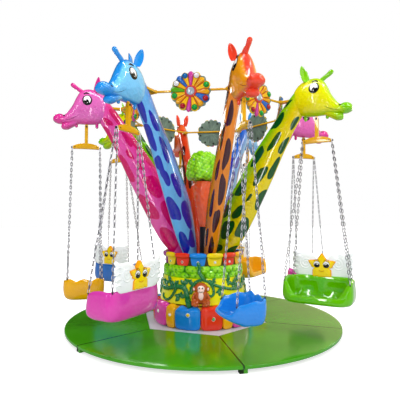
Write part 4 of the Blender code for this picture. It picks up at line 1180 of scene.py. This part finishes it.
def flower_patches():
    """Rod, end plates and flower for the span whose middle lies along +X, as patches."""
    number_of = petal_names.index
    patches = []
    ends = []
    for sign in (-1, 1):
        turn = sign * math.pi / ARMS
        ends.append(placed(np.array([PLATE_REACH - 0.018, -sign * 0.022, ROD_HEIGHT]), turn))
        low = (PLATE_REACH - 0.022, -sign * 0.005, ROD_HEIGHT - 0.022)
        high = (PLATE_REACH - 0.0006, -sign * 0.039, ROD_HEIGHT + 0.022)
        patches.append((slab(low, high, turn), number_of("gold")))
        cap = placed(np.array([PLATE_REACH - 0.026, -sign * 0.030, ROD_HEIGHT + 0.014]), turn)
        bolt = [(0, 0), (0.009, 0), (0.009, 0.006), (0.006, 0.009), (0, 0.009)]
        patches.append((spun(bolt, cap, polar(-1.0, turn, 0.0), 6), number_of("bolt")))
    patches.append((tube(np.linspace(*ends, 3), ROD_RADIUS, 16), number_of("gold")))
    plane = ends[0][0] + 0.017
    edge = math.radians(-PETALS[0][0])
    for half_degrees, paint, lamp in PETALS:
        half = math.radians(half_degrees)
        centre = edge + half
        edge += 2 * half
        grid, groove = petal(centre, half, plane, FLOWER_RADIUS * (0.90 if paint == "amber" else 1.0))
        patches.append((grid, number_of(paint), {"groove": groove}))
        if lamp:
            place = on_flower(plane + 0.024, LAMP_REACH, centre)
            patches += domed_lamp(place, (1, 0, 0), FLOWER_LAMP_SIZE, lamp, lamp, len(petal_names))
            ring = [(0, -0.004), (0.038, -0.004), (0.038, 0.001), (0.032, 0.003), (0, 0.003)]
            patches.append((spun(ring, place, (1, 0, 0), 20), number_of("dark")))
    hub = [(0, 0), (0.074, 0), (0.078, 0.016), (0.070, 0.030), (0.058, 0.034), (0.054, 0.028), (0, 0.028)]
    lens = [(0, 0.02), (0.052, 0.026), (0.050, 0.034), (0.036, 0.041), (0.018, 0.0445), (0, 0.0455)]
    for profile, paint in ((hub, "hub"), (lens, "lens")):
        patches.append((spun(profile, on_flower(plane, 0.0, 0.0), (1, 0, 0), 40), number_of(paint)))
    back, grime = flower_back(plane)
    patches.append((back, number_of("back"), {"grime": grime}))
    knob = [(0, -0.002), (0.017, -0.002), (0.016, 0.005), (0.010, 0.008), (0, 0.009)]
    for turn in 0.2 + np.arange(8) * math.pi / 4:
        place = on_flower(plane - 0.008, BOSS_REACH, turn)
        patches.append((spun(knob, place, (-1, 0, 0), 12), number_of("dark")))
    return patches


flower = flower_patches()
for number in range(1, ARMS + 1):
    patches = placed_patches(flower, arm_turn(number) + math.pi / ARMS)
    shell(f"flower_lamp_{number}", "rotor", [*petal_paints.values(), *lamp_paints.values()], patches,
          [f"light_rod_{number}"], crease=35)

# Under each jaw hangs a square gold painted post on a pin, with a boat-shaped bar welded across its
# foot. A stub with a washer at each end of the bar carries the two chain eyes.
ARM_RADIUS = 1.75
PIN_HEIGHT = 2.905
BAR_HEIGHT = 2.63
EYE_HEIGHT = 2.6025
POST_HALF = 0.0222
CHEEK_INSIDE = 0.0085
BAR_HALF_LENGTH = 0.182
BAR_HALF_WIDTH = 0.0243


def bar_grid(x, middle, half):
    """Bar carried along x: each section is a rounded rectangle about its middle height."""
    angle = np.linspace(0, 2 * math.pi, 25)[None, :]
    return closed_ends(xyz(x[:, None], BAR_HALF_WIDTH * power(np.cos(angle), 0.35),
                           middle[:, None] + half[:, None] * power(np.sin(angle), 0.35)))


def hanger_patches():
    """Post, fork cheeks, pin, boat-shaped bar and stubs, in the arm's frame. Paint 0 gold, 1 steel."""
    patches = []
    for y in (-POST_HALF, CHEEK_INSIDE):
        patches.append((slab((ARM_RADIUS - POST_HALF, y, PIN_HEIGHT - 0.031),
                             (ARM_RADIUS + POST_HALF, y + POST_HALF - CHEEK_INSIDE, PIN_HEIGHT + 0.019)), 0))
    patches.append((slab((ARM_RADIUS - POST_HALF, -POST_HALF, BAR_HEIGHT),
                         (ARM_RADIUS + POST_HALF, POST_HALF, PIN_HEIGHT - 0.0305)), 0))
    pin = [(0, -0.031), (0.0125, -0.031), (0.0135, -0.028), (0.0135, -0.0235), (0.0078, -0.0235),
           (0.0078, 0.0235), (0.0135, 0.0235), (0.0135, 0.028), (0.0125, 0.031), (0, 0.031)]
    patches.append((spun(pin, (ARM_RADIUS, 0, PIN_HEIGHT), (0, 1, 0)), 1))
    span = np.linspace(-1, 1, 41)
    arch = np.clip(1 - (span / 0.92) ** 2, 0, 1)
    top = EYE_HEIGHT + 0.024 + 0.040 * arch ** 0.75
    low = EYE_HEIGHT - 0.024 + 0.004 * arch ** 0.6
    fullness = 0.6 + 0.4 * np.clip((1 - np.abs(span)) / 0.05, 0, 1) ** 0.5
    patches.append((bar_grid(ARM_RADIUS + BAR_HALF_LENGTH * span, 0.5 * (top + low),
                             0.5 * (top - low) * fullness), 0))
    stub = [(0, -0.02), (0.0078, -0.02), (0.0078, 0.016), (0.0145, 0.016), (0.0150, 0.0245),
            (0.012, 0.0255), (0, 0.0255)]
    bolt = [(0, 0), (0.008, 0), (0.0085, 0.002), (0.006, 0.004), (0, 0.004)]
    for sign in (-1, 1):
        patches.append((spun(stub, (ARM_RADIUS + sign * BAR_HALF_LENGTH, 0, EYE_HEIGHT), (sign, 0, 0)), 1))
        for face in (-1, 1):
            place = (ARM_RADIUS + sign * 0.155, face * 0.0242, EYE_HEIGHT + 0.004)
            patches.append((spun(bolt, place, (0, face, 0), 8), 1))
    return patches


hanger = hanger_patches()
for number in range(1, ARMS + 1):
    shell(f"spreader_{number}", f"hanger_{number}_body", [gold_paint, dark_steel],
          placed_patches(hanger, arm_turn(number)), [f"hanger_{number}"], crease=35)

# Eight moulded tub seats hang from the bars, every second one a bench for two. The tubs are thick
# gloss fibreglass with a rolled wavy rim, into which four steel stalks are screwed for the chains.
SEAT_CENTRE_Y = -0.02
BACK_POWER = 4.2
FLOOR_THICKNESS = 0.045
FLOOR_BEND_Y = -0.084
FLOOR_BEND_RUN = 0.157
STALK_SHARE = 0.955
# Relief of the inner back wall: a bench's two sunk panels, a single seat's ribs
PANEL_PLACE = 0.19
PANEL_HALF_WIDTH = 0.125
PANEL_DEPTH = 0.016
RIB_PITCH = 0.105
RIB_DEPTH = 0.012
# Tubs: profile is (share of the outline, share of the height) from the underside's middle to the
# rim, rim is (degrees from the side towards the back, height), chains are the stalks' directions
TUBS = {
    "single": {
        "half_width": 0.28, "front_depth": 0.29, "back_depth": 0.20, "front_power": 2.8, "bottom": 0.450,
        "rise": 0.062, "wall": 0.030, "chains": (-33.0, 38.0),
        "profile": ((0.0, 0.0), (0.36, 0.0), (0.63, 0.008), (0.78, 0.045), (0.885, 0.13), (0.950, 0.26),
                    (0.985, 0.44), (1.0, 0.64), (0.992, 0.84)),
        "rim": ((-90, 0.580), (-55, 0.585), (-42, 0.602), (-36, 0.645), (-29, 0.688), (-14, 0.700),
                (-2, 0.716), (10, 0.728), (20, 0.720), (28, 0.722), (36, 0.742), (44, 0.750),
                (53, 0.730), (62, 0.712), (75, 0.734), (90, 0.745))},
    "double": {
        "half_width": 0.445, "front_depth": 0.235, "back_depth": 0.215, "front_power": 5.2, "bottom": 0.480,
        "rise": 0.015, "wall": 0.045, "chains": (-21.0, 23.0),
        "profile": ((0.0, 0.0), (0.40, 0.0), (0.72, 0.006), (0.87, 0.05), (0.955, 0.15), (0.992, 0.30),
                    (1.0, 0.46), (0.992, 0.66), (0.978, 0.84)),
        "rim": ((-90, 0.592), (-42, 0.592), (-35, 0.606), (-31, 0.640), (-27, 0.702), (-23, 0.757),
                (-17, 0.788), (-8, 0.808), (5, 0.816), (15, 0.808), (24, 0.808), (34, 0.814), (90, 0.816))},
}
TUB_INSIDE = ((0.978, 0.84), (0.965, 0.60), (0.945, 0.30), (0.905, 0.09), (0.82, 0.0), (0.5, -0.03),
              (0.0, -0.04))
# Seats in order: name of the seat's colour, paint. The seventh is crimson, under a green seat's name.
SEAT_COLOURS = (
    ("amber", (236, 174, 6)), ("pink", (214, 60, 168)), ("blue", (28, 132, 222)), ("green", (97, 187, 0)),
    ("pink", (212, 62, 168)), ("amber", (250, 182, 22)), ("green", (200, 20, 60)), ("blue", (20, 104, 192)))
STALK = ((0, -0.02), (0.007, -0.02), (0.007, 0.004), (0.012, 0.005), (0.012, 0.009), (0.005, 0.011),
         (0, 0.011))


def tub_of(number):
    """Measures of a seat's tub: every second seat is a bench."""
    return TUBS["single" if number % 2 else "double"]


def tub_outline(tub, angle, share, inset=0.0):
    """Place on the tub's outline seen from above: an oval with squared corners, whose depth and
    squareness differ in front of and behind its middle. inset draws it in by a length all round."""
    back = np.sin(angle) > 0
    depth = np.where(back, tub["back_depth"], tub["front_depth"]) - inset
    square = np.where(back, BACK_POWER, tub["front_power"])
    wide = np.abs(np.cos(angle) / (tub["half_width"] - inset)) ** square
    deep = np.abs(np.sin(angle) / depth) ** square
    reach = share * (wide + deep) ** (-1 / square)
    return reach * np.cos(angle), SEAT_CENTRE_Y + reach * np.sin(angle)


def rim_height(tub, angle):
    """Height of the rim in a direction, by a smooth curve through the tub's listed heights."""
    turn = np.degrees(np.arctan2(np.sin(angle), np.abs(np.cos(angle))))
    dense = smooth(tub["rim"], 400)
    return np.interp(turn, dense[:, 0], dense[:, 1])


def bottom_height(tub, y):
    """Underside of the tub, which rises towards the front."""
    return tub["bottom"] + tub["rise"] * np.clip((FLOOR_BEND_Y - y) / FLOOR_BEND_RUN, 0, 1.3)


def tub_grid(tub):
    """Tub as one closed skin: from the middle of its underside out and up its bulging side, over the
    rolled rim and down inside to the middle of the seat. The inner back wall of a single seat has
    ribs in even waves across it, that of a bench two sunk panels."""
    angle = np.linspace(-math.pi, math.pi, 181)[None, :]
    crown = rim_height(tub, angle)
    outside = smooth(tub["profile"], 24)
    rows = []
    for share, level in outside:
        x, y = tub_outline(tub, angle, share)
        low = bottom_height(tub, y)
        rows.append(xyz(x, y, low + level * (crown - low)))
    last_share, last_level = outside[-1]
    for turn in np.linspace(0, math.pi, 10)[1:-1]:
        x, y = tub_outline(tub, angle, last_share, tub["wall"] * 0.5 * (1 - math.cos(turn)))
        low = bottom_height(tub, y)
        side = low + last_level * (crown - low)
        rows.append(xyz(x, y, side + (crown - side) * math.sin(turn) ** 0.7))
    on_back = np.clip((np.sin(angle) - 0.25) * 4, 0, 1)
    for share, level in smooth(TUB_INSIDE, 22):
        x, y = tub_outline(tub, angle, share, tub["wall"])
        low = np.minimum(bottom_height(tub, y) + FLOOR_THICKNESS, crown - 0.02)
        middle = math.exp(-((level - 0.42) / 0.26) ** 4)
        if tub is TUBS["double"]:
            relief = PANEL_DEPTH * np.exp(-((np.abs(x) - PANEL_PLACE) / PANEL_HALF_WIDTH) ** 6)
        else:
            relief = -RIB_DEPTH * np.cos(x * 2 * math.pi / RIB_PITCH)
        rows.append(xyz(x, y + relief * middle * on_back, low + level * (crown - low)))
    return np.concatenate(rows)


def stalk_places(tub, side):
    """Places of the two stalks on one side of the rim."""
    turn = np.radians(tub["chains"])
    x, y = tub_outline(tub, turn, STALK_SHARE)
    return xyz(side * x, y, rim_height(tub, turn))


for number, (name, colour) in enumerate(SEAT_COLOURS, 1):
    tub = tub_of(number)
    patches = [(tub_grid(tub), 0)]
    for side in (-1, 1):
        patches += [(spun(STALK, place, (0, 0, 1), 10), 1) for place in stalk_places(tub, side)]
    tub_paint = enamel(f"tub_{name}_{number}", colour, roughness=0.10, coat=0.9, wave=0.35)
    shell(f"tub_{number}", f"seat_{number}_body", [tub_paint, dark_steel],
          placed_patches(patches, arm_turn(number), ARM_RADIUS), [f"seat_{number}"],
          crease=60)

# Each seat hangs on four welded chains of zinc-plated round wire. They run from two flat eyes on
# the bar's stubs down to the stalks on the rim. Every second link is turned a quarter and painted
# darker, since it shows its shaded side.
LINK_PITCH = 0.042
LINK_HALF_WIDTH = 0.0128
LINK_WIRE = 0.0047
EYE_REACH = BAR_HALF_LENGTH + 0.0105
EYE_RING = ((0.0092, -0.005), (0.0205, -0.005), (0.0215, 0.0), (0.0205, 0.005), (0.0092, 0.005),
            (0.0092, -0.005))


def link_grid():
    """One chain link along Z: a stadium-shaped loop of round wire with few sides."""
    turn = np.linspace(0, 2 * math.pi, 9)[:, None]
    wire = np.linspace(0, 2 * math.pi, 5)[None, :]
    straight = 0.5 * LINK_PITCH - LINK_HALF_WIDTH + LINK_WIRE
    reach = LINK_HALF_WIDTH + LINK_WIRE * np.cos(wire)
    return xyz(reach * np.cos(turn), LINK_WIRE * np.sin(wire),
               reach * np.sin(turn) + np.sign(np.round(np.sin(turn), 6)) * straight)


def chain_grid(start, end):
    """Links from start to end, every second one turned a quarter, each a little askew."""
    length = np.linalg.norm(end - start)
    count = int(round(length / LINK_PITCH))
    along = (end - start) / length
    side = np.cross(along, (0.0, 1.0, 0.0))
    side /= np.linalg.norm(side)
    front = np.cross(side, along)
    link = link_grid()
    link[..., 2] *= length / count / LINK_PITCH
    step = np.arange(count)
    place = start + (step[:, None] + 0.5) * (end - start) / count
    angle = (step % 2 * math.pi / 2 + 0.12 * np.sin(1.9 * step) + 0.4 + math.pi / 2)[:, None, None]
    x = link[..., 0] * np.cos(angle) - link[..., 1] * np.sin(angle)
    y = link[..., 0] * np.sin(angle) + link[..., 1] * np.cos(angle)
    return place[:, None, None] + x[..., None] * side + y[..., None] * front + link[..., 2:] * along


def chain_patches(tub):
    """The four chains and their eyes, as patches."""
    patches = []
    for side in (-1, 1):
        for foot in stalk_places(tub, side):
            top = np.array([side * EYE_REACH, math.copysign(0.012, foot[1]), EYE_HEIGHT - 0.020])
            links = chain_grid(top, foot + np.array([0.0, 0.0, 0.006]))
            patches += [(links[0::2], 0), (links[1::2], 1)]
        patches.append((spun(EYE_RING, (side * EYE_REACH, 0, EYE_HEIGHT), (1, 0, 0), 20), 0))
    return patches


chain_steel = enamel("chain_zinc", (216, 216, 224), roughness=0.25, coat=0.0, wave=0.1, metallic=0.25,
                     fade=0.2)
# A darker copy of the zinc for every second link: painted shade.
chain_shade = enamel("chain_zinc_painted_shade", (112, 112, 120), roughness=0.3, coat=0.0, wave=0.1, metallic=0.4,
                     fade=0.5)
for number in range(1, ARMS + 1):
    shell(f"chains_{number}", f"seat_{number}_body", [chain_steel, chain_shade],
          placed_patches(chain_patches(tub_of(number)), arm_turn(number), ARM_RADIUS),
          weld=1e-6)

# On the back of each bench stands a fat yellow star with a smiling face on both sides, between two
# white wings. They are gloss painted fibreglass mouldings, bonded into the rim.
BACK_PLANE = SEAT_CENTRE_Y + TUBS["double"]["back_depth"] - 0.016
STAR_HEIGHT = 0.932
STAR_FOOT = 0.798
STAR_RADIUS = 0.220
STAR_FLATNESS = 0.87
STAR_HALF = 0.036
STAR_NOTCH = 0.60
STAR_EDGE = ((0.45, 1.0), (0.80, 0.94), (0.90, 0.84), (0.975, 0.45))
STAR_YELLOW, STAR_BLACK, STAR_WHITE, SMILE = range(4)
# Lenses of an eye: place across and up, half lengths, how far it stands out, paint
STAR_EYE = (
    (0.062, 0.030, 0.041, 0.043, 0.0025, STAR_WHITE), (0.061, 0.020, 0.039, 0.033, 0.0040, STAR_BLACK),
    (0.050, 0.034, 0.011, 0.008, 0.0055, STAR_WHITE), (0.068, 0.036, 0.006, 0.005, 0.0055, STAR_WHITE))
# Lines over an eye: first and last direction of the arc, places on it, half width, rise, girth
STAR_BROWS = ((0.1, 3.04, 16, 0.042, 0.030, 0.0030), (0.6, 2.5, 12, 0.038, 0.052, 0.0026))
WING_OUTLINE = (
    (-0.030, 0.765), (-0.030, 0.920), (0.045, 1.000), (0.080, 1.058), (0.140, 1.100), (0.210, 1.112),
    (0.275, 1.104), (0.330, 1.116), (0.380, 1.134), (0.404, 1.110), (0.378, 1.070), (0.398, 1.044),
    (0.400, 1.008), (0.368, 0.984), (0.394, 0.956), (0.394, 0.920), (0.360, 0.896), (0.382, 0.868),
    (0.378, 0.836), (0.340, 0.812), (0.300, 0.790), (0.160, 0.770), (-0.030, 0.765))
WING_EDGE = ((0.45, 0.96), (0.68, 0.84), (0.84, 0.64), (0.94, 0.38))
WING_MIDDLE = (0.205, 0.950)
WING_HALF = 0.0190
SPIRAL_MIDDLE = (0.210, 0.975)
SPIRAL_BAR = 0.0095
FEATHER_HEIGHTS = (0.868, 0.928, 0.988, 1.052)
FEATHER_BAR = 0.011


def both_faces(edge):
    """Section of a flat moulding from the middle of one face round its edge to that of the other, as
    columns of reach and thickness, from the places (reach, thickness) of one half."""
    half = [(0.0, 1.0), *edge]
    rows = [*((reach, -thick) for reach, thick in half), (1.0, 0.0), *half[::-1]]
    return np.split(np.array(rows), 2, axis=1)


def star_reach(angle):
    """Share of the star's radius in a direction: straight edges between five points and five notches,
    with each point cut back to a soft round. The side points sit higher than on an even star, and the
    notch between the two lower ones is filled, as they stand on the rim."""
    fifth = 2 * math.pi / 5
    signed = (angle + math.pi) % (2 * math.pi) - math.pi
    real, even = np.radians([(0, 63, 144, 180), (0, 72, 144, 180)])
    angle = np.sign(signed) * np.interp(np.abs(signed), real, even)
    local = np.abs((angle + fifth / 2) % fifth - fifth / 2)
    across_x = STAR_NOTCH * math.cos(fifth / 2) - 1.0
    across_y = STAR_NOTCH * math.sin(fifth / 2)
    edge = across_y / (np.cos(local) * across_y - np.sin(local) * across_x)
    reach = np.minimum(edge, 0.940 - 1.2 * local ** 2)
    return np.where(np.abs(angle) > 2 * fifth, np.maximum(reach, 0.80), reach)


def star_patches():
    """Five-pointed star with soft points: its faces are domed a little and slope to a thick rounded
    edge, and eyes, brows and a smile are laid on both of them."""
    angle = np.linspace(0, 2 * math.pi, 161)[None, :]
    share, thick = both_faces(STAR_EDGE)
    reach = share * STAR_RADIUS * star_reach(angle)
    height = np.maximum(STAR_HEIGHT + STAR_FLATNESS * reach * np.cos(angle), STAR_FOOT)
    grid = xyz(reach * np.sin(angle), BACK_PLANE + STAR_HALF * thick, height)
    patches = [(grid, STAR_YELLOW, {"edge": 0.88 - np.abs(thick)})]
    turn = np.linspace(0, 2 * math.pi, 25)[None, :]
    for face in (-1, 1):
        plane = BACK_PLANE + face * STAR_HALF
        for side in (-1, 1):
            for across, up, half_x, half_z, lift, paint in STAR_EYE:
                lens = np.array([(0, -0.004), (1, -0.004), (1, 0.3 * lift), (0.8, 0.85 * lift), (0, lift)])
                share, rise = np.split(lens, 2, axis=1)
                patches.append((xyz(side * across + half_x * share * np.cos(turn), plane + face * rise,
                                    STAR_HEIGHT + up + half_z * share * np.sin(turn)), paint))
            for first, last, count, width, rise, girth in STAR_BROWS:
                arc = np.linspace(first, last, count)
                brow = xyz(side * 0.062 + width * np.cos(arc), plane,
                           STAR_HEIGHT + rise + 0.044 * np.sin(arc))
                patches.append((tube(brow, girth, 6, (0, face, 0)), STAR_BLACK))
        arc = np.linspace(math.pi + 0.5, 2 * math.pi - 0.5, 14)
        smile = xyz(0.036 * np.cos(arc), plane, STAR_HEIGHT - 0.040 + 0.020 * np.sin(arc))
        patches.append((tube(smile, 0.0034, 6, (0, face, 0)), SMILE))
    return patches


def wing_patches(side):
    """Wing: an outline with a scalloped outer edge and a curled top corner, its faces sloping softly
    to a round edge, with a raised spiral and four raised feather tips on each face."""
    loop = smooth(WING_OUTLINE, 140)
    loop[-1] = loop[0]
    share, thick = both_faces(WING_EDGE)
    x, z = (middle + share * (loop[:, column] - middle) for column, middle in enumerate(WING_MIDDLE))
    patches = [(xyz(side * x, BACK_PLANE + WING_HALF * thick, z), 0)]
    turn = np.linspace(0.2, 4.3 * math.pi, 72)
    reach = 0.014 + 0.072 * turn / turn[-1]
    for face in (-1, 1):
        spiral = xyz(side * (SPIRAL_MIDDLE[0] + reach * np.cos(turn)),
                     BACK_PLANE + face * (WING_HALF - 0.004),
                     SPIRAL_MIDDLE[1] + reach * np.sin(turn))
        patches.append((tube(spiral, SPIRAL_BAR, 7, (0, face, 0)), 0))
        for level in FEATHER_HEIGHTS:
            rib = smooth([(0.378, level), (0.345, level + 0.012), (0.315, level + 0.004)], 12)
            line = xyz(side * rib[:, 0], BACK_PLANE + face * (WING_HALF - 0.009), rib[:, 1])
            patches.append((tube(line, FEATHER_BAR, 6, (0, face, 0)), 0))
    return patches


star_yellow = enamel("star_yellow", (252, 214, 0), layers=(("edge", (240, 160, 12), 0.08),))
smile_brown = enamel("smile_brown", (190, 100, 16))
wing_white = enamel("wing_white", (246, 250, 251), roughness=0.2, fade=0.02)
for number in range(2, ARMS + 1, 2):
    shell(f"star_{number}", f"seat_{number}_body", [star_yellow, eye_black, eye_white, smile_brown],
          placed_patches(star_patches(), arm_turn(number), ARM_RADIUS), crease=30)
    shell(f"wings_{number}", f"seat_{number}_body", [wing_white],
          placed_patches([*wing_patches(-1), *wing_patches(1)], arm_turn(number), ARM_RADIUS))
